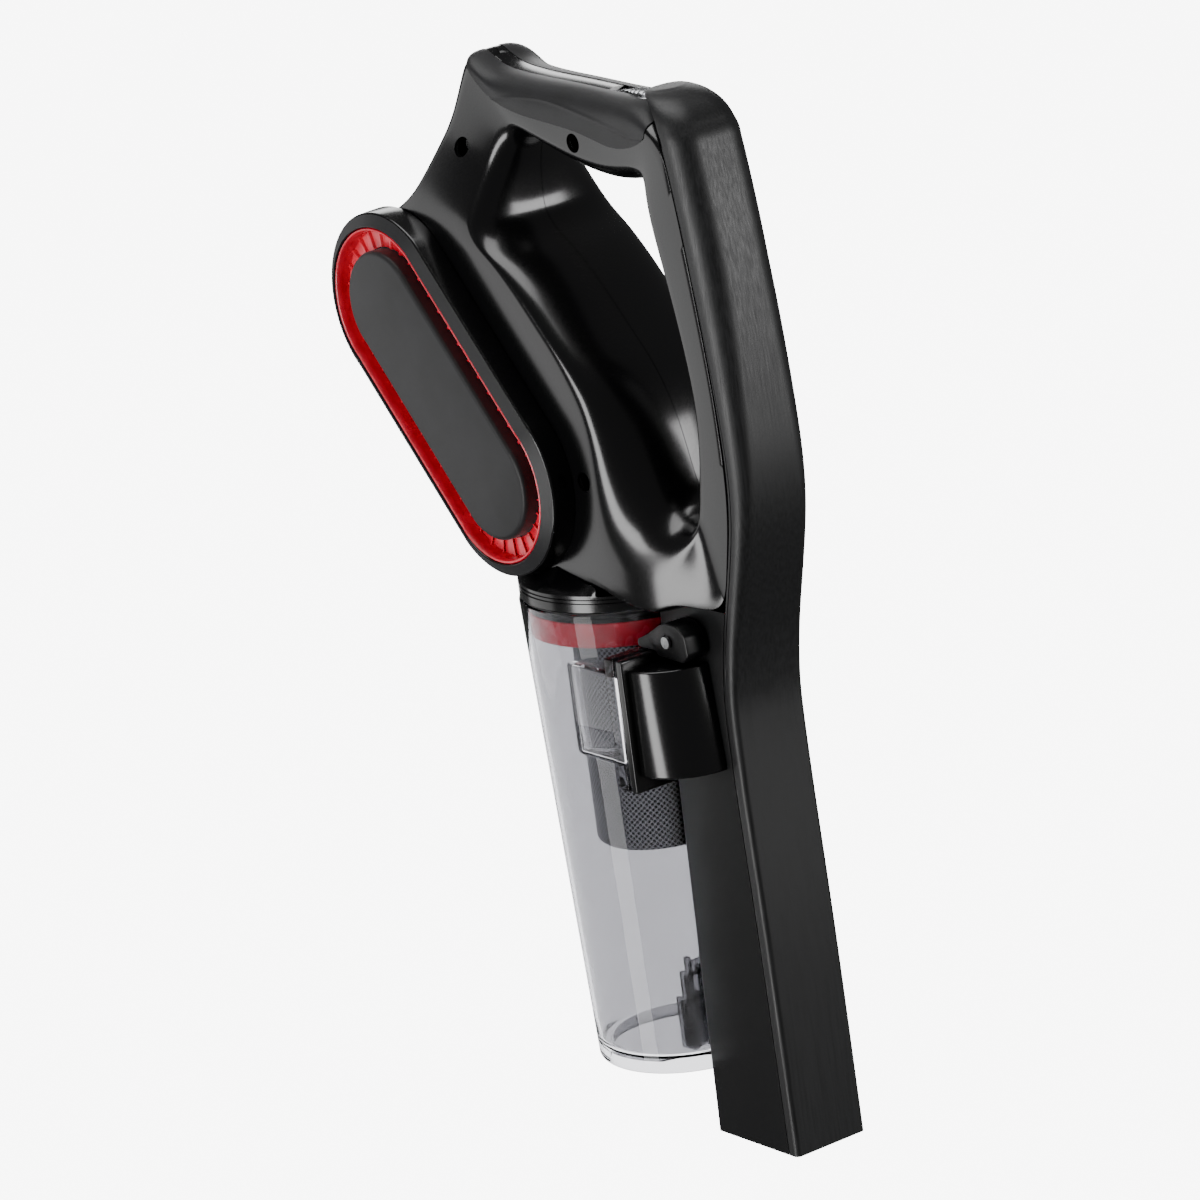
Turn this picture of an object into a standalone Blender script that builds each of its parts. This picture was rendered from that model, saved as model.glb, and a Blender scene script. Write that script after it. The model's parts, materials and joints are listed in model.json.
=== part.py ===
"""Handheld vacuum with a long suction spine, a D-shaped grip, a cross-flow motor pod
and a clear cyclone dust cup. Lengths below are millimetres; meshes are made in metres.

X runs across the machine, +Y is the back of the spine, +Z is up along it. The origin is
the centre of the suction mouth at the spine's lower end.
"""
import math

import bpy
import bmesh
import numpy as np

MM = 0.001

# General fits
GAP = 0.3                     # clearance between pieces that touch
WALL = 2.2                    # moulded wall thickness

# Suction spine
SPINE_WIDTH = 40.0            # across X
MOUTH_DEPTH = 58.0            # front to back at the mouth
SPINE_TOP = 489.0             # top of the dome
FRONT_LEAN = 0.018            # the front face leans back going up
DUCT_TOP = 257.5              # the front channel ends under the body
SEAL_HEIGHT = 9.0             # rubber lip inside the mouth
# back line of the spine, as (z, y measured from the mouth's rear edge)
BACK_LINE = [(0, 0), (100, -2), (160, -4.5), (205, -5.5), (222, -4), (245, 1), (272, 9.5), (300, 17.5),
             (325, 20.5), (350, 20.3), (380, 18.8), (411, 16), (440, 12), (465, 7.5), (476, 4.5)]

# Dust cup, a cone round a vertical axis in front of the spine
CUP_AXIS_Y = -70.6
CUP_BOTTOM = 27.5
CUP_TOP = 251.5
CUP_FOOT_RADIUS = 41.6
CUP_TOP_RADIUS = 50.6
CUP_WALL = 1.8
CUP_FLOOR = 8.0               # height of the inner floor over the foot
CUP_CLEARANCE = 0.8           # the spine's front is hollowed to clear the cup

SPINE_HEIGHTS = [0, CUP_BOTTOM - 9, CUP_BOTTOM, 75, 120, 160, 190, 205, 220, 238, DUCT_TOP]

# Air port between cup and spine, on the +X side
PORT_OUT = 50.6               # outer face, across X
PORT_IN = 24.0
PORT_LOW = 186.0
PORT_HIGH = 230.0
PORT_FRONT = -62.0
PORT_ROUNDING = 9.0           # front corner of the port, in plan
FLANGE_LOW = 175.5
FLANGE_HIGH = 237.4
FLANGE_OUT = 51.8
FLANGE_FRONT = -25.8
CUP_FLANGE_THICK = 7.2
ELBOW_FLANGE_THICK = 3.4
GASKET_THICK = 1.2
ELBOW_OUT = 48.2
ELBOW_LOW = 182.6
ELBOW_HIGH = 232.4
ELBOW_END = (13.8, 9.4)       # y where its rear meets the spine, at its bottom and its top

# Filter inside the cup
FILTER_RADIUS = 29.5
FILTER_LOW = 132.0
FILTER_CORE_RADIUS = 23.0
RED_RING_LOW = 235.6
RED_RING_HIGH = 247.0

# Neck between cup and body
NECK_RADIUS = 50.0
NECK_FLAT = 260.2             # height of the neck where it enters the body at the rear
INTAKE_RADIUS = 24.0

# Motor pods: a pill outline in the YZ plane
POD_CENTRE = (-126.4, 346.0)  # y, z
POD_TILT = 41.8               # degrees from the spine's axis, leaning forwards
POD_HALF_LENGTH = 50.3        # between the centre and each cap's centre
POD_RADIUS = 36.8             # red ring's outer radius
POD_RIM_WIDTH = 6.6
POD_HEIGHT = 14.4             # rim height over the body's side
PANEL_RADIUS = 26.0
BODY_HALF_WIDTH = 38.5        # at the motor

# Motor, sized by the room in the pod
SHROUD_ROOM = 3.3             # from the fan shroud to the vent's outline
MOTOR_ROOM = 5.8
SHROUD_RADIUS = POD_RADIUS - SHROUD_ROOM
MOTOR_RADIUS = POD_RADIUS - MOTOR_ROOM
MOTOR_LENGTH = 46.0
SHAFT_RADIUS = 4.0

# Grip
GRIP_HALF_WIDTH = 17.5
STRIP_HALF_WIDTH = 4.2
PAD_THICK = 0.9
# lower edge of the soft pad on the grip's side, as y, z
PAD_EDGE = [(13.5, 477), (10, 470.5), (2, 466), (-8, 463.6), (-19, 463.4), (-30, 465.6), (-44, 468.3),
            (-64, 470.5), (-86, 473), (-103, 478), (-115, 487)]
SWITCH_TRAVEL = 5.0
BEZEL_HALF_WIDTH = 7.6
BEZEL_FRONT = -30.0
BEZEL_BACK = -1.0
BEZEL_LOW = 480.9
SCREW_HOLE_RADIUS = 4.4
# case screws, as y, z and the x of the wall that they go through
SCREWS = {"front": (-120.5, 455.5, GRIP_HALF_WIDTH + 7.5), "grip": (-45.0, 462.6, GRIP_HALF_WIDTH - 0.5),
          "neck": (-41.0, 313.4, BODY_HALF_WIDTH - 0.9)}
SCREW_SINK = 7.0              # depth of the well over a screw's head

HALF = SPINE_WIDTH / 2
MOUTH_BACK = MOUTH_DEPTH / 2
BODY_SIDE = BODY_HALF_WIDTH + GAP

MATERIALS = {
    "gloss_black_abs": ((0.006, 0.006, 0.007), 0.12, 0.0),
    "brushed_black_abs": ((0.02, 0.02, 0.021), 0.38, 0.0),
    "satin_black_abs": ((0.012, 0.012, 0.013), 0.42, 0.0),
    "charcoal_soft_touch": ((0.035, 0.035, 0.037), 0.6, 0.0),
    "red_translucent_pc": ((0.55, 0.01, 0.02), 0.15, 0.0),
    "smoke_clear_pc": ((0.75, 0.75, 0.76), 0.05, 0.0),
    "steel_mesh": ((0.35, 0.35, 0.36), 0.35, 1.0),
    "foam_grey": ((0.2, 0.2, 0.2), 0.9, 0.0),
    "black_rubber": ((0.02, 0.02, 0.02), 0.8, 0.0),
    "zinc_plate": ((0.6, 0.6, 0.58), 0.35, 1.0),
    "bright_chrome": ((0.75, 0.75, 0.76), 0.1, 1.0),
    "natural_nylon": ((0.5, 0.5, 0.47), 0.5, 0.0),
}


# ---------------------------------------------------------------- mesh tools

def clear_scene():
    for obj in list(bpy.data.objects):
        bpy.data.objects.remove(obj, do_unlink=True)


def material(name):
    found = bpy.data.materials.get(name)
    if found:
        return found
    colour, roughness, metallic = MATERIALS[name]
    made = bpy.data.materials.new(name)
    made.use_nodes = True
    shader = made.node_tree.nodes["Principled BSDF"]
    shader.inputs["Base Color"].default_value = (*colour, 1)
    shader.inputs["Roughness"].default_value = roughness
    shader.inputs["Metallic"].default_value = metallic
    return made


def add_object(name, points, faces, finish, origin=(0, 0, 0)):
    """Make one closed object; points are millimetres, origin is where its joint turns."""
    mesh = bpy.data.meshes.new(name)
    local = (np.asarray(points, float) - np.asarray(origin, float)) * MM
    mesh.from_pydata(local.tolist(), [], faces)
    work = bmesh.new()
    work.from_mesh(mesh)
    bmesh.ops.recalc_face_normals(work, faces=work.faces)
    work.to_mesh(mesh)
    work.free()
    mesh.shade_smooth()
    mesh.set_sharp_from_angle(angle=math.radians(35))
    mesh.materials.append(material(finish))
    obj = bpy.data.objects.new(name, mesh)
    obj.location = [c * MM for c in origin]
    bpy.context.collection.objects.link(obj)
    return obj


def skin(rings, closed=False):
    """Join rings of equal length into quads, capped at both ends unless they close."""
    rings = np.asarray(rings, float)
    count, size = rings.shape[:2]
    faces = []
    for row in range(count if closed else count - 1):
        here, there = row * size, (row + 1) % count * size
        for k in range(size):
            n = (k + 1) % size
            faces.append((here + k, here + n, there + n, there + k))
    if not closed:
        faces.append(tuple(range(size - 1, -1, -1)))
        faces.append(tuple(range((count - 1) * size, count * size)))
    return rings.reshape(-1, 3), faces


def add_skin(name, rings, finish, closed=False, origin=(0, 0, 0)):
    points, faces = skin(rings, closed)
    return add_object(name, points, faces, finish, origin)


def combine(target, other, operation):
    """Cut another object out of the target, or weld it on, and drop the other."""
    tool = target.modifiers.new("shape", "BOOLEAN")
    tool.operation = operation
    tool.solver = "EXACT"
    tool.object = other
    bpy.context.view_layer.update()
    shaped = bpy.data.meshes.new_from_object(target.evaluated_get(bpy.context.evaluated_depsgraph_get()))
    target.modifiers.remove(tool)
    target.data = shaped
    bpy.data.objects.remove(other, do_unlink=True)
    return target


def box(name, low, high, finish="satin_black_abs"):
    (x0, y0, z0), (x1, y1, z1) = low, high
    ring = [(x0, y0), (x1, y0), (x1, y1), (x0, y1)]
    return add_skin(name, [[(x, y, z) for x, y in ring] for z in (z0, z1)], finish)


def spline(points, count, closed=False):
    """Catmull-Rom curve through rows of numbers, read at evenly spaced parameters."""
    rows = np.asarray(points, float)
    total = len(rows)
    if closed:
        place = np.arange(count) * total / count
        low = np.floor(place).astype(int)
        knots = [rows[(low + shift) % total] for shift in (-1, 0, 1, 2)]
    else:
        padded = np.vstack([2 * rows[0] - rows[1], rows, 2 * rows[-1] - rows[-2]])
        place = np.linspace(0, total - 1, count)
        low = np.minimum(np.floor(place).astype(int), total - 2)
        knots = [padded[low + shift] for shift in (0, 1, 2, 3)]
    u = (place - low)[:, None]
    a, b, c, d = knots
    return 0.5 * (2 * b + (c - a) * u + (2 * a - 5 * b + 4 * c - d) * u ** 2 + (3 * b - a - 3 * c + d) * u ** 3)


def turned(name, profile, base, axis, finish, segments=40, hollow=True, origin=(0, 0, 0)):
    """Revolve (radius, height) points about an axis; hollow profiles close on themselves."""
    axis = np.asarray(axis, float) / np.linalg.norm(axis)
    side = np.cross(axis, (1, 0, 0)) if abs(axis[0]) < 0.9 else np.cross(axis, (0, 1, 0))
    side /= np.linalg.norm(side)
    other = np.cross(axis, side)
    angle = np.arange(segments) * 2 * math.pi / segments
    around = np.cos(angle)[:, None] * side + np.sin(angle)[:, None] * other
    rings = [np.asarray(base) + r * around + h * axis for r, h in profile]
    return add_skin(name, rings, finish, hollow, origin)


def tube_profile(inner, outer, low, high):
    return [(outer, low), (outer, high), (inner, high), (inner, low)]


# ---------------------------------------------------------------- spine

def back_y(z):
    """Back face of the spine at a height."""
    line = spline(BACK_LINE, 200)
    return MOUTH_BACK + np.interp(z, line[:, 0], line[:, 1])


def front_y(z):
    """Front face of the spine at a height."""
    return -MOUTH_DEPTH / 2 + FRONT_LEAN * z


def corner_radius(z):
    return np.interp(z, [0, 215, 320, 410], [2.5, 3.0, 8.0, 12.5])


def seam_y(z):
    """Where the back cover meets the front channel and the body."""
    return back_y(z) - np.interp(z, [0, 215, 320, 410], [6.0, 6.5, 10.0, 13.0])


def cover_section(half, back, seam, radius, z, steps=5):
    """Outer line of the back cover: up one flank, round two corners, down the other."""
    turn = np.linspace(0, math.pi / 2, steps)
    x = np.concatenate([[half], half - radius + radius * np.cos(turn)])
    y = np.concatenate([[seam], back - radius + radius * np.sin(turn)])
    x = np.concatenate([x, -x[::-1]])
    y = np.concatenate([y, y[::-1]])
    return np.column_stack([x, y, np.full(len(x), float(z))])


def channel_ring(half, back, seam, radius, wall, z):
    """Closed outline of the cover's U-shaped wall."""
    outer = cover_section(half, back, seam, radius, z)
    inner = cover_section(half - wall, back - wall, seam, max(radius - wall, 0.6), z)
    return np.vstack([outer, inner[::-1]])


def make_back_cover():
    """One long moulding from the mouth to the dome, bending forwards at its top."""
    heights = SPINE_HEIGHTS + [272, 286, 300, 314, 330, 348, 368, 390, 411, 432, 452, 468]
    rings = [channel_ring(HALF, back_y(z), seam_y(z), corner_radius(z), WALL, z) for z in heights]
    last_seam = seam_y(heights[-1])
    last_back = back_y(heights[-1])
    # the dome: each step is (height, share of the half width, back drop, wall)
    for below, share, drop, wall in [(13.5, 0.97, 3.0, 3.0), (7.5, 0.9, 7.0, 4.0), (3.3, 0.8, 12.5, 5.0),
                                     (0.8, 0.66, 18.5, 5.5), (0, 0.5, 23, 5.5)]:
        z = SPINE_TOP - below
        half, back = HALF * share, last_back - drop
        seam = last_seam - 0.9 * drop
        rings.append(channel_ring(half, back, seam, min(11.5, half - 0.5), wall, z))
    add_skin("back_cover", rings, "brushed_black_abs")


def groove_y(x, z, extra=0.0):
    """Front face of the spine, hollowed round the cup."""
    flat = front_y(z) + 0 * x
    if z < CUP_BOTTOM - 8:
        return flat + extra
    reach = cup_radius(max(z, CUP_BOTTOM)) + CUP_CLEARANCE
    return np.maximum(flat, CUP_AXIS_Y + np.sqrt(reach ** 2 - x ** 2)) + extra


def duct_section(half, z, wall, steps=10):
    """Front channel's line from one rear edge round the hollowed front to the other."""
    rear = seam_y(z) - GAP
    inside = half - wall
    front = groove_y(np.array([inside]), z, wall)[0]
    round_off = 2.0
    turn = np.linspace(0, math.pi / 2, 3)
    side_x = np.concatenate([[inside], inside - round_off + round_off * np.cos(turn)])
    side_y = np.concatenate([[rear], front + round_off - round_off * np.sin(turn)])
    across = np.linspace(inside - round_off, -(inside - round_off), steps + 1)[1:-1]
    x = np.concatenate([side_x, across, -side_x[::-1]])
    y = np.concatenate([side_y, groove_y(across, z, wall), side_y[::-1]])
    return np.column_stack([x, y, np.full(len(x), float(z))])


def make_front_channel():
    rings = [np.vstack([duct_section(HALF, z, 0), duct_section(HALF, z, WALL)[::-1]]) for z in SPINE_HEIGHTS]
    channel = add_skin("front_channel", rings, "satin_black_abs")
    window = box("cut", (HALF - 2 * WALL, elbow_start() + 1, ELBOW_LOW + WALL),
                 (HALF + WALL, ELBOW_END[1] - 6, ELBOW_HIGH - WALL))
    combine(channel, window, "DIFFERENCE")


def inner_duct_ring(z, shrink):
    """Rectangle just inside the spine's walls at a height."""
    half = HALF - WALL - GAP - shrink
    low = groove_y(np.zeros(1), z)[0] + WALL + GAP + shrink
    high = back_y(z) - WALL - GAP - shrink
    cut = 1.6
    ring = [(half, low + cut), (half, high - cut), (half - cut, high), (-half + cut, high),
            (-half, high - cut), (-half, low + cut), (-half + cut, low), (half - cut, low)]
    return np.array([(x, y, z) for x, y in ring])


def make_duct_fittings():
    seal_wall = 1.6
    low, high = 1.5, 1.5 + SEAL_HEIGHT
    rings = [inner_duct_ring(low, 0), inner_duct_ring(high, 0),
             inner_duct_ring(high, seal_wall), inner_duct_ring(low, seal_wall)]
    add_skin("mouth_seal", rings, "black_rubber", closed=True)
    plug_low = ELBOW_HIGH + GAP
    add_skin("duct_plug", [inner_duct_ring(plug_low, 0), inner_duct_ring(plug_low + 3, 0)], "satin_black_abs")


# ---------------------------------------------------------------- air port and elbow

def elbow_start():
    """Front of the elbow's curve: behind the cup's flange, the gasket and its own flange."""
    return FLANGE_FRONT + CUP_FLANGE_THICK + GASKET_THICK + 2 * GAP + ELBOW_FLANGE_THICK


def elbow_plan(inset, z, front):
    """Outline of the elbow at a height, from the spine's side out, back and in again."""
    start = elbow_start()
    share = (z - ELBOW_LOW) / (ELBOW_HIGH - ELBOW_LOW)
    end = ELBOW_END[0] + (ELBOW_END[1] - ELBOW_END[0]) * share
    side = HALF + GAP
    turn = np.linspace(0, math.pi / 2, 12)
    x = side + (ELBOW_OUT - side - inset) * np.cos(turn)
    y = start + (end - start - inset) * np.sin(turn)
    x = np.concatenate([[side, x[0]], x[1:]])
    y = np.concatenate([[start - front, start - front], y[1:]])
    return np.column_stack([x, y, np.full(len(x), float(z))])


def make_elbow():
    """Quarter-round duct on the spine's +X side, ending in a flange that faces the cup."""
    start = elbow_start()
    elbow = add_skin("suction_elbow", [elbow_plan(0, z, 0) for z in (ELBOW_LOW, ELBOW_HIGH)], "gloss_black_abs")
    flange = box("flange", (HALF + 1, start - ELBOW_FLANGE_THICK, FLANGE_LOW),
                 (FLANGE_OUT, start + 0.6, FLANGE_HIGH))
    combine(elbow, flange, "UNION")
    low, high = ELBOW_LOW + WALL, ELBOW_HIGH - WALL
    hollow = add_skin("hollow", [elbow_plan(WALL, z, 8) for z in (low, high)], "gloss_black_abs")
    hollow.location.x -= 0.6 * MM
    combine(elbow, hollow, "DIFFERENCE")
    edge = 3.4
    window_low = (HALF + 1 + edge, PORT_LOW - 1)
    window_high = (ELBOW_OUT - 1, PORT_HIGH + 1)
    gasket_front = FLANGE_FRONT + CUP_FLANGE_THICK + GAP
    outer = [(HALF + 1.5, FLANGE_LOW + 3), (FLANGE_OUT - 1, FLANGE_LOW + 3),
             (FLANGE_OUT - 1, FLANGE_HIGH - 3), (HALF + 1.5, FLANGE_HIGH - 3)]
    inner = [window_low, (window_high[0], window_low[1]), window_high, (window_low[0], window_high[1])]
    rings = []
    for outline, depth in ((outer, 0), (outer, GASKET_THICK), (inner, GASKET_THICK), (inner, 0)):
        rings.append([(x, gasket_front + depth, z) for x, z in outline])
    add_skin("port_gasket", rings, "black_rubber", closed=True)


# ---------------------------------------------------------------- dust cup and filter

def cup_radius(z):
    slope = (CUP_TOP_RADIUS - CUP_FOOT_RADIUS) / (CUP_TOP - CUP_BOTTOM)
    return CUP_FOOT_RADIUS + slope * (z - CUP_BOTTOM)


CUP_PIVOT = (0.0, CUP_AXIS_Y + CUP_FOOT_RADIUS, CUP_BOTTOM - 1.5)


def make_cup():
    """Clear cone with a floor, a tangential port and a flange."""
    foot = (0, CUP_AXIS_Y, 0)
    up = (0, 0, 1)
    edge = 2.2
    outside = [(CUP_FOOT_RADIUS - edge, CUP_BOTTOM), (cup_radius(CUP_BOTTOM + edge), CUP_BOTTOM + edge),
               (CUP_TOP_RADIUS, CUP_TOP)]
    cup = turned("dust_cup", outside, foot, up, "smoke_clear_pc", 48, hollow=False)
    turn = np.linspace(0, math.pi / 2, 6)
    plan = [(PORT_IN, FLANGE_FRONT + 1), (PORT_IN, PORT_FRONT)]
    for a in turn:
        plan.append((PORT_OUT - PORT_ROUNDING * (1 - math.sin(a)), PORT_FRONT + PORT_ROUNDING * (1 - math.cos(a))))
    plan.append((PORT_OUT, FLANGE_FRONT + 1))
    port = add_skin("port", [[(x, y, z) for x, y in plan] for z in (PORT_LOW, PORT_HIGH)], "smoke_clear_pc")
    combine(cup, port, "UNION")
    flange = box("flange", (HALF + 1, FLANGE_FRONT, FLANGE_LOW),
                 (FLANGE_OUT, FLANGE_FRONT + CUP_FLANGE_THICK, FLANGE_HIGH))
    combine(cup, flange, "UNION")
    floor = CUP_BOTTOM + CUP_FLOOR
    inside = [(cup_radius(floor) - CUP_WALL - 4, floor), (cup_radius(floor + 4) - CUP_WALL, floor + 4),
              (cup_radius(CUP_TOP + 2) - CUP_WALL, CUP_TOP + 2)]
    combine(cup, turned("inside", inside, foot, up, "smoke_clear_pc", 48, hollow=False), "DIFFERENCE")
    way = box("way", (PORT_IN + CUP_WALL, CUP_AXIS_Y + 16, PORT_LOW + CUP_WALL),
              (PORT_OUT - CUP_WALL, FLANGE_FRONT + 2 * CUP_FLANGE_THICK, PORT_HIGH - CUP_WALL))
    combine(cup, way, "DIFFERENCE")
    under = [(CUP_FOOT_RADIUS - 5, CUP_BOTTOM - 1), (CUP_FOOT_RADIUS - 6, floor - CUP_WALL)]
    combine(cup, turned("under", under, foot, up, "smoke_clear_pc", 40, hollow=False), "DIFFERENCE")
    set_origin(cup, CUP_PIVOT)


def set_origin(obj, place):
    """Move the object's origin to its joint without moving its shape."""
    shift = np.asarray(place) * MM - np.asarray(obj.location)
    for vertex in obj.data.vertices:
        vertex.co = vertex.co - type(vertex.co)(shift)
    obj.location = [c * MM for c in place]


def make_cup_fittings():
    foot = (0, CUP_AXIS_Y, 0)
    up = (0, 0, 1)
    low, high = RED_RING_LOW, RED_RING_HIGH
    fit = CUP_WALL + GAP + 0.1
    ring = [(cup_radius(low) - fit, low), (cup_radius(high) - fit, high),
            (cup_radius(high) - fit - 3, high), (cup_radius(low) - fit - 3, low)]
    turned("cup_red_ring", ring, foot, up, "red_translucent_pc", 40, origin=CUP_PIVOT)
    seal_low = CUP_TOP - 1.9
    seal_out = cup_radius(seal_low) - fit
    turned("cup_seal", tube_profile(seal_out - 4, seal_out, seal_low, CUP_TOP + 0.3), foot, up,
           "black_rubber", 40, origin=CUP_PIVOT)
    # stepped hinge pocket inside the cup's rear wall
    floor = CUP_BOTTOM + CUP_FLOOR + GAP
    half = 18.5
    back = CUP_AXIS_Y + math.sqrt((cup_radius(floor + 3) - CUP_WALL - 1) ** 2 - half ** 2) - 1.5
    steps = [(floor, 60.5, 13.0), (60.5, 74.0, 8.0), (74.0, 82.0, 3.5)]
    outline = [(back, floor + 3), (back - 3, floor)]
    for low, high, depth in steps:
        outline += [(back - depth, low), (back - depth, high)]
    outline.append((back, steps[-1][1]))
    rings = [[(x, y, z) for y, z in outline] for x in (-half, half)]
    add_skin("hinge_pocket", rings, "smoke_clear_pc", origin=CUP_PIVOT)


def make_filter():
    foot = (0, CUP_AXIS_Y, 0)
    up = (0, 0, 1)
    plate_high = CUP_TOP - 2.4
    plate_out = cup_radius(plate_high - 2) - CUP_WALL - 0.8
    skirt = FILTER_RADIUS - 2.6
    frame = [(plate_out, plate_high - 2), (plate_out, plate_high), (18, plate_high), (18, plate_high - 14),
             (skirt, plate_high - 14), (skirt, plate_high - 2)]
    turned("filter_frame", frame, foot, up, "satin_black_abs", 36, origin=foot)
    top = plate_high - 2.5
    round_off = 3.0
    mesh_wall = 0.6
    sleeve = [(FILTER_RADIUS, top), (FILTER_RADIUS, FILTER_LOW + round_off),
              (FILTER_RADIUS - 0.9, FILTER_LOW + 0.9), (FILTER_RADIUS - round_off, FILTER_LOW),
              (4.0, FILTER_LOW), (4.0, FILTER_LOW + mesh_wall), (FILTER_RADIUS - round_off, FILTER_LOW + mesh_wall),
              (FILTER_RADIUS - mesh_wall, FILTER_LOW + round_off), (FILTER_RADIUS - mesh_wall, top)]
    turned("mesh_sleeve", sleeve, foot, up, "steel_mesh", 36, origin=foot)
    core_low = FILTER_LOW + mesh_wall + 2
    turned("filter_core", tube_profile(11, FILTER_CORE_RADIUS, core_low, plate_high - 14.5), foot, up,
           "foam_grey", 32, origin=foot)


# ---------------------------------------------------------------- body shells

def pill_point(radius, angle, cap):
    """Point on the pill's cap: cap is +1 for the upper, -1 for the lower; angle in degrees from +Y."""
    tilt = math.radians(POD_TILT)
    y = POD_CENTRE[0] - cap * POD_HALF_LENGTH * math.sin(tilt)
    z = POD_CENTRE[1] + cap * POD_HALF_LENGTH * math.cos(tilt)
    a = math.radians(angle)
    return y + radius * math.cos(a), z + radius * math.sin(a)


def body_stations():
    """Sections round the hand opening.

    Each row holds the opening's edge y, z and the outline's y, z on the centre plane, the
    half width, and how far the side rounds off towards the opening and the outline.
    """
    hull = POD_RADIUS + 4.2
    side = 270 - POD_TILT           # direction square to the pill, towards the grip
    motor = BODY_HALF_WIDTH
    grip = GRIP_HALF_WIDTH

    def pill(angle, cap):
        return pill_point(hull, angle, cap)

    lower_left, upper_left = pill(side, -1), pill(side, 1)
    middle = tuple((a + b) / 2 for a, b in zip(lower_left, upper_left))
    rows = [
        ((2, 449), (2, 482.5), grip + 1, 9, 10),
        ((-20, 446), (-27, 484.6), grip, 11, 15),
        ((-44, 449), (-56, 486.2), grip, 11, 16),
        ((-66, 456), (-86, 487.4), grip + 0.5, 11, 16),
        ((-80, 461), (-108, 490), grip + 0.5, 11, 15),
        ((-88, 460), (-122.5, 497), grip + 0.5, 11, 12),
        ((-93, 454), (-129.5, 485), grip + 2, 11, 11),
        ((-95.5, 446), (-136, 468), grip + 5.5, 11, 10),
        ((-97, 436), (-144.5, 451), grip + 12, 11, 9),
        ((-97, 424), (-154, 433.5), motor - 2, 11, 7),
        ((-90, 415), pill(104, 1), motor, 12, 6),
        ((-78, 407), pill(137, 1), motor, 12, 6),
        ((-65, 396), pill(168, 1), motor, 12, 6),
        ((-53, 384), pill(200, 1), motor, 12, 6),
        ((-42, 372.5), upper_left, motor, 12, 6),
        ((-33, 363), middle, motor, 13, 6),
        ((-25, 352), lower_left, motor, 15, 6),
        ((-18, 338), pill(262, -1), motor, 22, 6),
        ((-13.5, 324), (-70, 264.5), motor, 32, 6),
        ((-10, 312), (-44, 260.5), motor, 40, 6),
        ((-6, 303), (-26, 256.5), motor - 1, 38, 5),
        ((0, 298.5), (-10, 253.2), motor - 4.5, 32, 4),
        ((7, 297.5), (4, 258), motor - 10, 22, 3),
        ((13, 301), (seam_y(258) - 2, 258), HALF + 0.6, 8, 1),
    ]
    spine = [(17, 313, 280), (19.5, 331, 312), (20, 350, 350), (18, 370, 377), (14, 392, 402),
             (10, 411, 426), (6, 429, 450)]
    rows += [((y, z), (seam_y(far) - GAP, far), HALF, 4, 0.8) for y, z, far in spine]
    rows.append(((4, 441), (seam_y(468) - 2, 470), HALF - 0.5, 5, 3))
    return [(*near, *far, *rest) for near, far, *rest in rows]


BODY_STEPS = 52
SQUARENESS = 0.84             # 1 gives elliptical sides, less gives squarer ones


def body_rows():
    return spline(body_stations(), BODY_STEPS, closed=True)


def slot_half(row):
    """Half width of the gap between the shells along the outline: the top strip and the floor."""
    y, z = row[2], row[3]
    if -117 < y < 8 and z > 480:
        return STRIP_HALF_WIDTH + GAP
    if -92 < y < -48 and z < 268:
        return INTAKE_RADIUS
    return GAP / 2


def section_line(row, grow, slot, steps=4):
    """Line across a section from the opening to the outline; grow moves it outwards."""
    length = math.hypot(row[2] - row[0], row[3] - row[1])
    half, near, far = row[4] + grow, row[5], row[6]
    turn = np.linspace(0, math.pi / 2, steps + 1)
    across, rise = np.sin(turn) ** SQUARENESS, 1 - np.cos(turn) ** SQUARENESS
    x_near = GAP / 2 + (half - GAP / 2) * across
    s_near = -grow + near * rise
    x_far = slot + (half - slot) * across
    s_far = length + grow - far * rise
    x = np.concatenate([x_near, x_far[::-1]])
    s = np.concatenate([s_near, s_far[::-1]])
    return x, s, length


def place(row, x, s, length):
    """Turn section coordinates into points."""
    dy, dz = (row[2] - row[0]) / length, (row[3] - row[1]) / length
    return np.column_stack([x, row[0] + s * dy, row[1] + s * dz])


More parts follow.
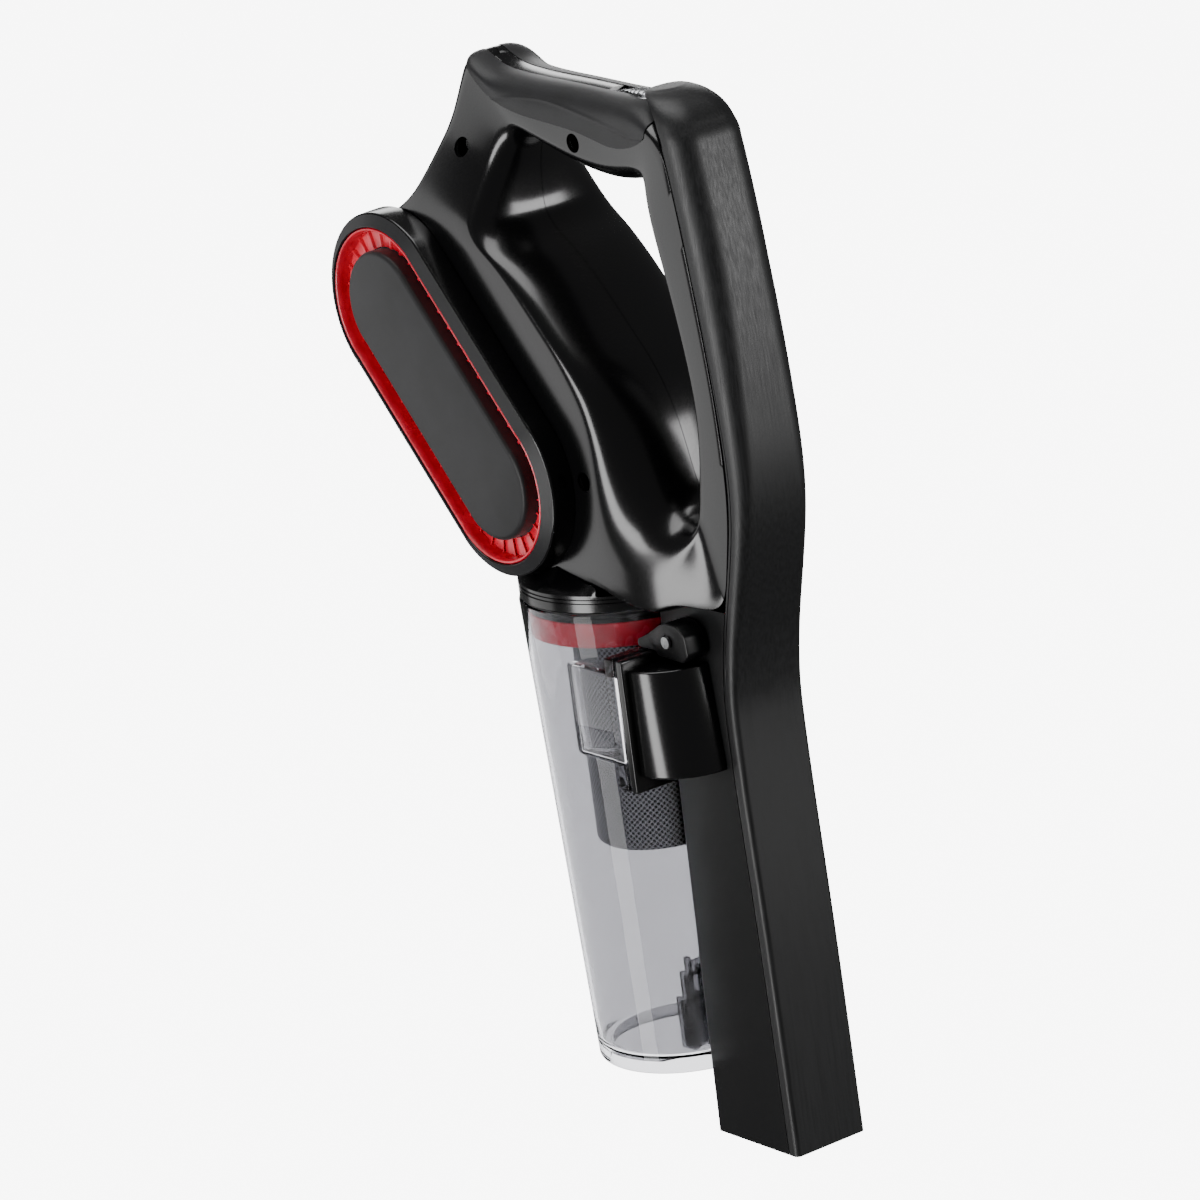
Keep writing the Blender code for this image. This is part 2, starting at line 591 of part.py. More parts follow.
def make_shell(name, sign):
    rings = []
    for row in body_rows():
        slot = slot_half(row)
        outer = place(row, *section_line(row, 0, slot))
        inner = place(row, *section_line(row, -WALL, slot, steps=2))
        rings.append(np.vstack([outer, inner[::-1]]) * (sign, 1, 1))
    shell = add_skin(name, rings, "gloss_black_abs", closed=True)
    for y, z, side in SCREWS.values():
        tilt_in = side - 1.0
        boss = turned("boss", [(5.9, 2.0), (5.9, tilt_in)], (0, y, z), (sign, 0, 0), "gloss_black_abs", 12, False)
        combine(shell, boss, "UNION")
        if sign > 0:
            well = turned("well", [(SCREW_HOLE_RADIUS, side - SCREW_SINK), (SCREW_HOLE_RADIUS, side + 9)],
                          (0, y, z), (1, 0, 0), "gloss_black_abs", 16, False)
            combine(shell, well, "DIFFERENCE")
            hole = turned("hole", [(2.0, 0), (2.0, side)], (0, y, z), (1, 0, 0), "gloss_black_abs", 12, False)
            combine(shell, hole, "DIFFERENCE")
        else:
            pilot = turned("pilot", [(1.8, 0), (1.8, 12)], (0, y, z), (-1, 0, 0), "gloss_black_abs", 12, False)
            combine(shell, pilot, "DIFFERENCE")
    neck = turned("neck", [(NECK_RADIUS + GAP, 230), (NECK_RADIUS + GAP, NECK_FLAT + GAP)], (0, CUP_AXIS_Y, 0),
                  (0, 0, 1), "gloss_black_abs", 48, hollow=False)
    combine(shell, neck, "DIFFERENCE")
    room = HALF + GAP
    combine(shell, box("spine", (-room, -24, 230), (room, 40, DUCT_TOP + GAP)), "DIFFERENCE")
    combine(shell, pad_piece("recess", sign, 3.0, -PAD_THICK - GAP, GAP), "DIFFERENCE")
    combine(shell, switch_pocket(), "DIFFERENCE")
    vent = pill_solid("vent", [(24, BODY_HALF_WIDTH - 6), (24, BODY_HALF_WIDTH + 2)], sign, "gloss_black_abs")
    combine(shell, vent, "DIFFERENCE")


def make_screws():
    for label, (y, z, side) in SCREWS.items():
        head = side - SCREW_SINK + GAP
        profile = [(1.5, -9.0), (1.5, head), (3.4, head), (3.4, head + 1.8)]
        turned("case_screw_" + label, profile, (0, y, z), (1, 0, 0), "zinc_plate", 12, hollow=False)


def grip_rows(first, last, count):
    """Sections along the top of the grip, between two fractions of the body's loop."""
    rows = spline(body_stations(), 600, closed=True)
    place_at = np.linspace(first, last, count) % 1
    return rows[(place_at * 600).astype(int)]


def make_grip_trim():
    rings = []
    for row in grip_rows(0.036, 0.121, 13):
        length = math.hypot(row[2] - row[0], row[3] - row[1])
        x = np.linspace(-STRIP_HALF_WIDTH, STRIP_HALF_WIDTH, 5)
        crown = length + 0.5 * (1 - (x / STRIP_HALF_WIDTH) ** 2)
        top = place(row, x, crown, length)
        under = place(row, x[::-1], np.full(5, length - WALL), length)
        rings.append(np.vstack([top, under]))
    combine(add_skin("grip_top_strip", rings, "gloss_black_abs"), switch_pocket(), "DIFFERENCE")
    for name, sign in (("grip_pad_left", 1), ("grip_pad_right", -1)):
        combine(pad_piece(name, sign, 0, -PAD_THICK, 0), switch_pocket(), "DIFFERENCE")


def switch_pocket():
    """Opening in the top of the grip that the switch's bezel sits in."""
    half, front, back = BEZEL_HALF_WIDTH + GAP, BEZEL_FRONT - GAP, BEZEL_BACK + GAP
    return box("pocket", (-half, front, BEZEL_LOW - 2), (half, back, BEZEL_LOW + 20))


def pad_piece(name, sign, high, low, margin):
    """Skin over the grip's shoulder between two depths, trimmed to the pad's outline."""
    rings = [pad_ring(row, high, low) * (sign, 1, 1) for row in grip_rows(-0.018, 0.16, 17)]
    pad = add_skin(name, rings, "charcoal_soft_touch")
    edge = spline(PAD_EDGE, 18)
    edge = edge + np.array([0, -margin])
    top = 520
    outline = [(edge[0][0] + margin, top)] + [(edge[0][0] + margin, edge[0][1])] + edge.tolist()
    outline += [(edge[-1][0] - margin, edge[-1][1]), (edge[-1][0] - margin, top)]
    near, far = sorted((sign * (STRIP_HALF_WIDTH + GAP - margin), sign * 60.0))
    area = add_skin("area", [[(x, y, z) for y, z in outline] for x in (near, far)], "charcoal_soft_touch")
    return combine(pad, area, "INTERSECT")


def pad_ring(row, high, low, steps=6):
    """Closed outline of a thick skin over the side and shoulder of the grip."""
    length = math.hypot(row[2] - row[0], row[3] - row[1])
    turn = np.linspace(math.pi / 2, 0, steps)
    lines = []
    for grow in (high, low):
        half = row[4] + grow
        x = half * np.sin(turn) ** SQUARENESS
        s = length + grow - row[6] * (1 - np.cos(turn) ** SQUARENESS)
        x = np.concatenate([[half], x])
        s = np.concatenate([[8.0], s])
        lines.append(place(row, x, s, length))
    return np.vstack([lines[0], lines[1][::-1]])


# ---------------------------------------------------------------- pods

def pill_loop(radius, steps=12):
    """Pill outline as (y, z) pairs."""
    end = 180 - POD_TILT            # direction of the upper cap's far point is square to this
    upper = [pill_point(radius, a, 1) for a in np.linspace(end - 90, end + 90, steps)]
    lower = [pill_point(radius, a, -1) for a in np.linspace(end + 90, end + 270, steps)]
    return np.array(upper + lower)


def pill_rings(profile, sign, steps=13):
    rings = []
    for radius, x in profile:
        loop = pill_loop(radius, steps)
        rings.append(np.column_stack([np.full(len(loop), sign * x), loop]))
    return rings


def pill_solid(name, profile, sign, finish):
    return add_skin(name, pill_rings(profile, sign), finish)


def make_pod(side, sign):
    base = BODY_SIDE
    top = base + POD_HEIGHT
    rim_out = POD_RADIUS + POD_RIM_WIDTH
    rim = [(rim_out + 0.5, base), (rim_out, top - 3), (POD_RADIUS + 0.6, top), (POD_RADIUS + GAP, top - 0.6),
           (POD_RADIUS + GAP, base)]
    add_skin("pod_rim_" + side, pill_rings(rim, sign), "gloss_black_abs", closed=True)
    foam = 3.6
    pill_solid("exhaust_filter_" + side, [(POD_RADIUS - GAP, base), (POD_RADIUS - GAP, base + foam)], sign, "foam_grey")
    floor = base + foam + GAP
    inner = PANEL_RADIUS + GAP
    rings = pill_rings([(POD_RADIUS, floor), (POD_RADIUS, top - 0.8), (POD_RADIUS - 1.6, top - 0.8),
                        (POD_RADIUS - 2, floor + 4), (inner, floor + 4), (inner, floor)], sign)
    for ring in rings[3:5]:
        ring[::2, 0] -= sign * 2.4      # every other rib of the vent is deeper
    add_skin("vent_ring_" + side, rings, "red_translucent_pc", closed=True)
    panel = [(PANEL_RADIUS, floor), (PANEL_RADIUS, top - 1.5), (PANEL_RADIUS - 0.8, top), (PANEL_RADIUS - 3, top + 1.4)]
    pill_solid("pod_panel_" + side, panel, sign, "charcoal_soft_touch")


# ---------------------------------------------------------------- motor

def motor_axis():
    """Unit vector along the pill, from the intake end to the far end, and the pill's centre."""
    tilt = math.radians(POD_TILT)
    return np.array([0, -math.sin(tilt), math.cos(tilt)]), np.array([0, *POD_CENTRE])


def make_motor():
    axis, centre = motor_axis()
    can_low, can_high = -8.0, -8.0 + MOTOR_LENGTH
    wall = 2.0
    can = [(MOTOR_RADIUS, can_low), (MOTOR_RADIUS, can_high - 3), (MOTOR_RADIUS - 3, can_high),
           (SHAFT_RADIUS + 2, can_high), (SHAFT_RADIUS + 2, can_high - wall),
           (MOTOR_RADIUS - 4, can_high - wall), (MOTOR_RADIUS - wall, can_high - 5), (MOTOR_RADIUS - wall, can_low)]
    turned("motor_case", can, centre, axis, "zinc_plate", 24)
    shroud_high = can_low - GAP
    shroud_low = shroud_high - 20
    shroud = [(15, shroud_low), (SHROUD_RADIUS - 3, shroud_low), (SHROUD_RADIUS, shroud_low + 3),
              (SHROUD_RADIUS, shroud_high), (SHROUD_RADIUS - 1.4, shroud_high),
              (SHROUD_RADIUS - 1.4, shroud_low + 3.4), (SHROUD_RADIUS - 3.6, shroud_low + 1.4), (15, shroud_low + 1.4)]
    turned("fan_shroud", shroud, centre, axis, "zinc_plate", 24)
    fan_low = shroud_low + 3
    fan = [(SHAFT_RADIUS + 0.2, fan_low + 2), (10, fan_low), (SHROUD_RADIUS - 6, fan_low + 1),
           (SHROUD_RADIUS - 6, fan_low + 9), (SHAFT_RADIUS + 0.2, fan_low + 9)]
    turned("fan_wheel", fan, centre, axis, "zinc_plate", 28, origin=centre)
    turned("rotor_shaft", [(SHAFT_RADIUS - 1, fan_low - 0.5), (SHAFT_RADIUS, fan_low + 1),
                           (SHAFT_RADIUS, can_high - 10), (SHAFT_RADIUS - 1, can_high + 3)],
           centre, axis, "zinc_plate", 16, hollow=False, origin=centre)
    core_low = can_low + 10
    turned("rotor_core", tube_profile(SHAFT_RADIUS + 0.1, 15, core_low, core_low + 20), centre, axis,
           "zinc_plate", 20, origin=centre)
    turned("stator", tube_profile(16.5, MOTOR_RADIUS - wall - 0.3, core_low - 1, core_low + 21), centre, axis,
           "zinc_plate", 28)
    turned("motor_mount_front", tube_profile(17, SHROUD_RADIUS, shroud_low - 5, shroud_low - GAP), centre, axis,
           "black_rubber", 28)
    turned("motor_mount_rear", tube_profile(10, 18, can_high + GAP, can_high + 5), centre, axis, "black_rubber", 24)


# ---------------------------------------------------------------- neck, switch, latch

def make_neck_collar():
    """Ring over the cup; at its sides a shoulder rises to the body, in front it meets the hull."""
    low = CUP_TOP + 0.9
    angle = np.arange(36) * 2 * math.pi / 36
    c, s = np.cos(angle), np.sin(angle)
    across = np.maximum(np.abs(c), 0.01)
    beside = (np.abs(c) * NECK_RADIUS > BODY_SIDE - 0.8) & (s < 0.6)
    front = ~beside & (s < 0)
    lower_cap = POD_CENTRE[0] + POD_HALF_LENGTH * math.sin(math.radians(POD_TILT))
    cap_height = POD_CENTRE[1] - POD_HALF_LENGTH * math.cos(math.radians(POD_TILT))

    def under_pill(y, radius):
        return cap_height - np.sqrt(np.maximum(radius ** 2 - (y - lower_cap) ** 2, 0))

    def ring(radius, z):
        z = np.broadcast_to(z, c.shape)
        return np.column_stack([radius * c, CUP_AXIS_Y + radius * s, z])

    y_out = CUP_AXIS_Y + NECK_RADIUS * s
    wall_top = np.where(beside, low + 8.2, NECK_FLAT)
    wall_top = np.where(front, under_pill(y_out, POD_RADIUS + 4.2) - 0.6, wall_top)
    reach = np.where(beside, np.minimum((BODY_SIDE + 0.4) / across, NECK_RADIUS - 0.8), NECK_RADIUS - 0.8)
    y_in = CUP_AXIS_Y + reach * s
    shoulder = np.minimum(268.6 - 0.2 * (y_in + 66), under_pill(y_in, POD_RADIUS + POD_RIM_WIDTH + 0.5) - 0.6)
    shoulder = np.where(beside, np.maximum(shoulder, wall_top), wall_top)
    groove = 0.8
    outer, inner = NECK_RADIUS, NECK_RADIUS - 3.2
    rings = [ring(outer, low), ring(outer, low + 4.4), ring(outer - groove, low + 4.8),
             ring(outer - groove, low + 5.6), ring(outer, low + 6), ring(outer, wall_top),
             ring(reach, shoulder), ring(np.minimum(reach, inner), shoulder - 2.4), ring(inner, low + 4),
             ring(inner, low + 2.2), ring(INTAKE_RADIUS, low + 2.2), ring(INTAKE_RADIUS, low)]
    add_skin("neck_collar", rings, "gloss_black_abs", closed=True)


def make_switch():
    low, high = BEZEL_LOW, BEZEL_LOW + 3.1
    half, front, back = BEZEL_HALF_WIDTH, BEZEL_FRONT, BEZEL_BACK
    edge = 3.0
    outer = [(-half, front), (half, front), (half, back), (-half, back)]
    inner = [(-half + edge, front + edge), (half - edge, front + edge), (half - edge, back - edge),
             (-half + edge, back - edge)]
    rings = [[(x, y, z) for x, y in line] for line, z in ((outer, low), (outer, high), (inner, high), (inner, low))]
    add_skin("switch_bezel", rings, "bright_chrome", closed=True)
    start = front + edge + SWITCH_TRAVEL + GAP
    knob = []
    for inset, z in ((GAP, low), (GAP, high + 0.5), (1.3, high + 2.3)):
        x, y0, y1 = half - edge - inset, start + inset, back - edge - inset
        knob.append([(-x, y0, z), (x, y0, z), (x, y1, z), (-x, y1, z)])
    add_skin("power_switch", knob, "bright_chrome", origin=(0, start, low))
    box("switch_module", (-6, front + 1, low - 14), (6, back - 1, low - 2.4), "natural_nylon")


LATCH_PIVOT = (HALF + 7.0, -1.8, 243.4)
LATCH_PIN_RADIUS = 1.5
LATCH_IN, LATCH_OUT = HALF + 1.2, HALF + 12.8     # its two faces, across X
LATCH_CLEARANCE = 0.6         # from its nose to the cup


def make_latch():
    """Lever on the spine's +X side whose nose holds the cup's flange back."""
    rest = FLANGE_HIGH + GAP + 0.2
    nose = CUP_AXIS_Y + math.sqrt(cup_radius(rest + 3.2) ** 2 - LATCH_IN ** 2) + LATCH_CLEARANCE
    side = [(nose, rest), (-12, rest), (-10.3, 235.6), (8, 235), (12, 238.5), (11, 247.5), (6, 251.8), (-2, 252.2),
            (-8, 250), (-17, 244.6), (nose, rest + 3.2)]
    rings = [[(x, y, z) for y, z in side] for x in (LATCH_IN, LATCH_OUT)]
    lever = add_skin("cup_latch", rings, "satin_black_abs")
    bore = LATCH_PIN_RADIUS + 0.1
    hole = turned("hole", [(bore, -12), (bore, 12)], LATCH_PIVOT, (1, 0, 0), "satin_black_abs", 16, hollow=False)
    combine(lever, hole, "DIFFERENCE")
    set_origin(lever, LATCH_PIVOT)
    head = LATCH_OUT + GAP - LATCH_PIVOT[0]
    pin = [(LATCH_PIN_RADIUS, HALF + GAP - LATCH_PIVOT[0]), (LATCH_PIN_RADIUS, head), (2.8, head), (2.8, head + 1.2)]
    turned("latch_pin", pin, LATCH_PIVOT, (1, 0, 0), "zinc_plate", 16, hollow=False)


def main():
    clear_scene()
    make_back_cover()
    make_front_channel()
    make_duct_fittings()
    make_elbow()
    make_cup()
    make_cup_fittings()
    make_filter()
    make_shell("shell_left", 1)
    make_shell("shell_right", -1)
    make_screws()
    make_grip_trim()
    make_pod("left", 1)
    make_pod("right", -1)
    make_motor()
    make_neck_collar()
    make_switch()
    make_latch()


main()
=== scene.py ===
import json
import math

import bmesh
import bpy
import numpy as np
from mathutils import Matrix, Vector


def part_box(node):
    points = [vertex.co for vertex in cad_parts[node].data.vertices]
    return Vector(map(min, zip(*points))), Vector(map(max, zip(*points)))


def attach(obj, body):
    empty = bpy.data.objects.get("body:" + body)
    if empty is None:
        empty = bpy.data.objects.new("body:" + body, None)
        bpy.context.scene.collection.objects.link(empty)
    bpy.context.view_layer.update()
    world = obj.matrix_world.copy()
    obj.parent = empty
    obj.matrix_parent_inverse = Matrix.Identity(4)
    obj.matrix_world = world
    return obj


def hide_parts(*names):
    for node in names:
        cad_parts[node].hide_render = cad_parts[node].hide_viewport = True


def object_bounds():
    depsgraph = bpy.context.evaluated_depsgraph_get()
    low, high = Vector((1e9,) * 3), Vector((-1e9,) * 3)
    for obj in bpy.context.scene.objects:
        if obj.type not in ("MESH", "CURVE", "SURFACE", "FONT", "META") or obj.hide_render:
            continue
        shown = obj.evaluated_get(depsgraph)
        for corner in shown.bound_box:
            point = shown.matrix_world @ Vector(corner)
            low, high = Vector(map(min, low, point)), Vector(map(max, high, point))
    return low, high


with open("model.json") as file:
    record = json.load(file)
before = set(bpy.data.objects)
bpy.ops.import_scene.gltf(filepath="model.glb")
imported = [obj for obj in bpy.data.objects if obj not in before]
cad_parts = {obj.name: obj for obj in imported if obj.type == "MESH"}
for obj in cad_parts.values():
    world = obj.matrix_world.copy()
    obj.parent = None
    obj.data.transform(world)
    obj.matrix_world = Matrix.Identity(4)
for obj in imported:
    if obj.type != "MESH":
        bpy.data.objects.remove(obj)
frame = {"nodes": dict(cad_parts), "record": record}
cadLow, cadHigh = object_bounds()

# Lengths are millimetres in the shape code and become metres in meshObject.
mm = 0.001
gap = 0.3                       # clearance between mouldings
wall = 2.2


def nodeBox(name):
    # A node's lowest and highest corner, in millimetres.
    low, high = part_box(name)
    return np.array(low) / mm, np.array(high) / mm


# ---- nodes and materials

def linearColour(hexCode):
    # sRGB hex to linear: each channel goes through the sRGB transfer curve.
    parts = [int(hexCode[i:i + 2], 16) / 255 for i in (1, 3, 5)]
    return tuple(c / 12.92 if c <= 0.04045 else ((c + 0.055) / 1.055) ** 2.4 for c in parts) + (1.0,)


def addNode(tree, kind, settings=None, links=None, values=None):
    # One node with its settings, the sockets that feed it, and its own socket values.
    node = tree.nodes.new(kind)
    for key, value in (settings or {}).items():
        setattr(node, key, value)
    for key, value in (values or {}).items():
        node.inputs[key].default_value = value
    for key, source in (links or {}).items():
        tree.links.new(source, node.inputs[key])
    return node


def startMaterial(name, sockets):
    # A Principled material with its even values set on the shader's own sockets.
    made = bpy.data.materials.new(name)
    made.use_nodes = True
    shader = made.node_tree.nodes["Principled BSDF"]
    for key, value in sockets.items():
        shader.inputs[key].default_value = linearColour(value) if isinstance(value, str) else value
    return made, made.node_tree, shader


def colourBy(tree, shader, pattern, low, high, start=0.3, end=0.7):
    # Base colour from a two-stop ramp between two sRGB colours.
    ramp = addNode(tree, "ShaderNodeValToRGB", links={"Fac": pattern})
    for stop, place, colour in zip(ramp.color_ramp.elements, (start, end), (low, high)):
        stop.position, stop.color = place, linearColour(colour)
    tree.links.new(ramp.outputs["Color"], shader.inputs["Base Color"])


def rangeValue(tree, value, low, high):
    # Takes 0..1 to low..high.
    return addNode(tree, "ShaderNodeMapRange", links={"Value": value},
                   values={"To Min": low, "To Max": high}).outputs["Result"]


def roughenBy(tree, shader, pattern, low, high):
    tree.links.new(rangeValue(tree, pattern, low, high), shader.inputs["Roughness"])


def grainPattern(tree, size, stretch=(1, 1, 1), detail=3.0, roughness=0.55):
    # Noise with grains of a size in millimetres, drawn out along an axis where stretch is above 1.
    place = addNode(tree, "ShaderNodeTexCoord").outputs["Object"]
    scale = tuple(1.0 / (size * mm * s) for s in stretch)
    turned = addNode(tree, "ShaderNodeMapping", links={"Vector": place}, values={"Scale": scale})
    return addNode(tree, "ShaderNodeTexNoise", links={"Vector": turned.outputs["Vector"]},
                   values={"Scale": 1.0, "Detail": detail, "Roughness": roughness}).outputs["Fac"]


def addBump(tree, shader, height, strength, distance):
    bump = addNode(tree, "ShaderNodeBump", links={"Height": height},
                   values={"Strength": strength, "Distance": distance * mm})
    tree.links.new(bump.outputs["Normal"], shader.inputs["Normal"])


def glossBlackAbs():
    # Polished black ABS: deep mirror gloss with a faint moulding ripple a few millimetres wide.
    look = {"ripple": 7.0, "haze": 1.1}
    made, tree, shader = startMaterial("glossBlackAbs", {"Base Color": "#060607", "IOR": 1.54})
    ripple = grainPattern(tree, look["ripple"], detail=1.0)
    haze = grainPattern(tree, look["haze"], detail=4.0)
    roughenBy(tree, shader, haze, 0.14, 0.24)
    addBump(tree, shader, ripple, 0.05, 0.03)
    return made


def brushedBlackAbs():
    # ABS with a hairline grain along the spine: streaks 0.8 mm wide and about 100 mm long.
    look = {"width": 0.8, "length": 120.0}
    made, tree, shader = startMaterial("brushedBlackAbs", {"IOR": 1.5})
    streak = grainPattern(tree, look["width"], (1, 1, look["length"]), detail=3.0, roughness=0.7)
    colourBy(tree, shader, streak, "#030304", "#101012", 0.38, 0.66)
    roughenBy(tree, shader, streak, 0.3, 0.68)
    addBump(tree, shader, streak, 0.35, 0.1)
    return made


def satinBlackAbs():
    # Black ABS from a spark-eroded mould: an even fine grain of 0.5 mm that dulls the gloss.
    made, tree, shader = startMaterial("satinBlackAbs", {
        "Base Color": "#070708", "IOR": 1.5, "Specular IOR Level": 0.25})
    grain = grainPattern(tree, 0.5, detail=2.0)
    roughenBy(tree, shader, grain, 0.3, 0.46)
    addBump(tree, shader, grain, 0.12, 0.05)
    return made


def softTouchPaint():
    # Rubbery charcoal paint over ABS: a soft broad sheen and a very fine tooth.
    made, tree, shader = startMaterial("softTouchPaint", {
        "IOR": 1.48, "Specular IOR Level": 0.3, "Sheen Weight": 0.12, "Sheen Roughness": 0.5})
    tooth = grainPattern(tree, 0.45, detail=3.0)
    cloud = grainPattern(tree, 16.0, detail=1.0)
    colourBy(tree, shader, cloud, "#131314", "#19191b")
    roughenBy(tree, shader, tooth, 0.38, 0.52)
    addBump(tree, shader, tooth, 0.1, 0.04)
    return made


def redPolycarbonate():
    # Tinted polycarbonate, polished: saturated red that lets some light through.
    made, tree, shader = startMaterial("redPolycarbonate", {
        "IOR": 1.585, "Transmission Weight": 0.1})
    flow = grainPattern(tree, 9.0, detail=1.0)
    colourBy(tree, shader, flow, "#cc1029", "#e61a38")
    roughenBy(tree, shader, flow, 0.2, 0.32)
    return made


def smokePolycarbonate():
    # Clear polycarbonate with a light smoke tint; a long soft ripple from the mould.
    made, tree, shader = startMaterial("smokePolycarbonate", {
        "Base Color": "#8e8e91", "IOR": 1.25, "Transmission Weight": 1.0})
    flow = grainPattern(tree, 14.0, (1, 1, 4), detail=1.0)
    roughenBy(tree, shader, flow, 0.01, 0.05)
    addBump(tree, shader, flow, 0.05, 0.05)
    return made


def wovenSteelMesh():
    # Fine steel mesh, woven on the diagonal; drawn with a 1.9 mm pitch so that it shows.
    look = {"pitch": 1.9}
    made, tree, shader = startMaterial("wovenSteelMesh", {"Metallic": 1.0})
    sheet = addNode(tree, "ShaderNodeUVMap", {"uv_map": "wrap"}).outputs["UV"]
    step = 1.0 / look["pitch"]
    turned = addNode(tree, "ShaderNodeMapping", links={"Vector": sheet},
                     values={"Scale": (step, step, step), "Rotation": (0, 0, math.radians(45))})
    weave = addNode(tree, "ShaderNodeTexVoronoi", {"feature": "F1", "voronoi_dimensions": "2D"},
                    {"Vector": turned.outputs["Vector"]}, {"Scale": 1.0, "Randomness": 0.0})
    holes = weave.outputs["Distance"]
    colourBy(tree, shader, holes, "#050506", "#77777b", 0.25, 0.5)
    roughenBy(tree, shader, holes, 0.55, 0.22)
    addBump(tree, shader, holes, 0.5, 0.2)
    return made


def brightChrome():
    # Chrome-plated ABS, buffed: near mirror with a trace of haze from handling.
    made, tree, shader = startMaterial("brightChrome", {"Metallic": 1.0, "Base Color": "#9a9b9d"})
    haze = grainPattern(tree, 0.8, (1, 6, 1), detail=3.0)
    roughenBy(tree, shader, haze, 0.18, 0.34)
    return made


def zincPlate():
    # Zinc-plated steel: bluish grey crystals about 1.5 mm across.
    made, tree, shader = startMaterial("zincPlate", {"Metallic": 1.0})
    crystal = grainPattern(tree, 1.5, detail=4.0)
    colourBy(tree, shader, crystal, "#8d8f92", "#b4b5b3")
    roughenBy(tree, shader, crystal, 0.25, 0.5)
    return made


def blackRubber():
    # Moulded rubber: matte, with a slightly mottled bloom.
    made, tree, shader = startMaterial("blackRubber", {"IOR": 1.52})
    bloom = grainPattern(tree, 2.0, detail=5.0)
    colourBy(tree, shader, bloom, "#0d0d0d", "#1a1a1a")
    roughenBy(tree, shader, bloom, 0.6, 0.85)
    addBump(tree, shader, bloom, 0.2, 0.05)
    return made


def greyFoam():
    # Open-cell filter foam with 1 mm cells.
    made, tree, shader = startMaterial("greyFoam", {"Roughness": 0.95})
    cells = grainPattern(tree, 1.0, detail=2.0)
    colourBy(tree, shader, cells, "#2c2c2d", "#7b7b79")
    addBump(tree, shader, cells, 0.8, 0.5)
    return made


def naturalNylon():
    # Undyed nylon, as moulded: milky off-white with a dull sheen.
    made, tree, shader = startMaterial("naturalNylon", {"IOR": 1.53, "Subsurface Weight": 0.1})
    flow = grainPattern(tree, 3.0, detail=2.0)
    colourBy(tree, shader, flow, "#cfcdc0", "#dcdad0")
    roughenBy(tree, shader, flow, 0.4, 0.55)
    return made


materials = {
    "gloss_black_abs": glossBlackAbs(), "brushed_black_abs": brushedBlackAbs(),
    "satin_black_abs": satinBlackAbs(), "charcoal_soft_touch": softTouchPaint(),
    "red_translucent_pc": redPolycarbonate(), "smoke_clear_pc": smokePolycarbonate(),
    "steel_mesh": wovenSteelMesh(), "bright_chrome": brightChrome(), "zinc_plate": zincPlate(),
    "black_rubber": blackRubber(), "foam_grey": greyFoam(), "natural_nylon": naturalNylon(),
}


def dressFrameNodes():
    # Every carried-over node takes the material of its slot in the record.
    for row in frame["record"]["subparts"]:
        data = frame["nodes"][row["node"]].data
        data.materials.clear()
        data.materials.append(materials[row["material_slot"]])


# ---- mesh tools

def loft(rings, closed=False):
    # Quads between neighbouring rings of points, capped at both ends unless the rings close.
    rings = np.asarray(rings, float)
    rows, size = rings.shape[:2]
    row = np.arange(rows if closed else rows - 1)[:, None] * size
    after = np.roll(np.arange(rows) * size, -1)[:len(row), None]
    col, nextCol = np.arange(size)[None, :], np.roll(np.arange(size), -1)[None, :]
    quads = np.stack([row + col, row + nextCol, after + nextCol, after + col], axis=-1)
    quads = quads.reshape(-1, 4).tolist()
    if not closed:
        quads += [list(range(size))[::-1], list(range((rows - 1) * size, rows * size))]
    return rings.reshape(-1, 3), quads


def meshObject(name, solids, slot, sharp=32.0):
    # One object from several closed solids, with normals outwards and sharp edges kept.
    mesh = bpy.data.meshes.new(name)
    points, faces, base = [], [], 0
    for solidPoints, solidFaces in solids:
        points.append(solidPoints)
        faces += [[i + base for i in face] for face in solidFaces]
        base += len(solidPoints)
    mesh.from_pydata((np.vstack(points) * mm).tolist(), [], faces)
    work = bmesh.new()
    work.from_mesh(mesh)
    bmesh.ops.remove_doubles(work, verts=work.verts, dist=1e-7)
    bmesh.ops.recalc_face_normals(work, faces=work.faces)
    work.to_mesh(mesh)
    work.free()
    mesh.shade_smooth()
    mesh.set_sharp_from_angle(angle=math.radians(sharp))
    mesh.materials.append(materials[slot])
    obj = bpy.data.objects.new(name, mesh)
    bpy.context.collection.objects.link(obj)
    obj["slot"] = slot
    return obj


def combine(target, tool, operation):
    # Cut the tool out of the target, or weld it on, and drop the tool.
    step = target.modifiers.new("shape", "BOOLEAN")
    step.operation, step.solver, step.object = operation, "EXACT", tool
    bpy.context.view_layer.update()
    shaped = bpy.data.meshes.new_from_object(target.evaluated_get(bpy.context.evaluated_depsgraph_get()))
    target.modifiers.remove(step)
    target.data = shaped
    while len(shaped.materials) > 1:
        shaped.materials.pop()
    bpy.data.objects.remove(tool, do_unlink=True)


def cutAway(target, *solids):
    combine(target, meshObject("cutter", solids, target["slot"]), "DIFFERENCE")


def weldOn(target, *solids):
    combine(target, meshObject("added", solids, target["slot"]), "UNION")


def smoothAgain(obj, sharp=32.0):
    obj.data.shade_smooth()
    obj.data.set_sharp_from_angle(angle=math.radians(sharp))


def settle(obj, body, *nodes):
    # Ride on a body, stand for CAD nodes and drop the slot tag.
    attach(obj, body)
    if nodes:
        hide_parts(*nodes)
    del obj["slot"]
    return obj


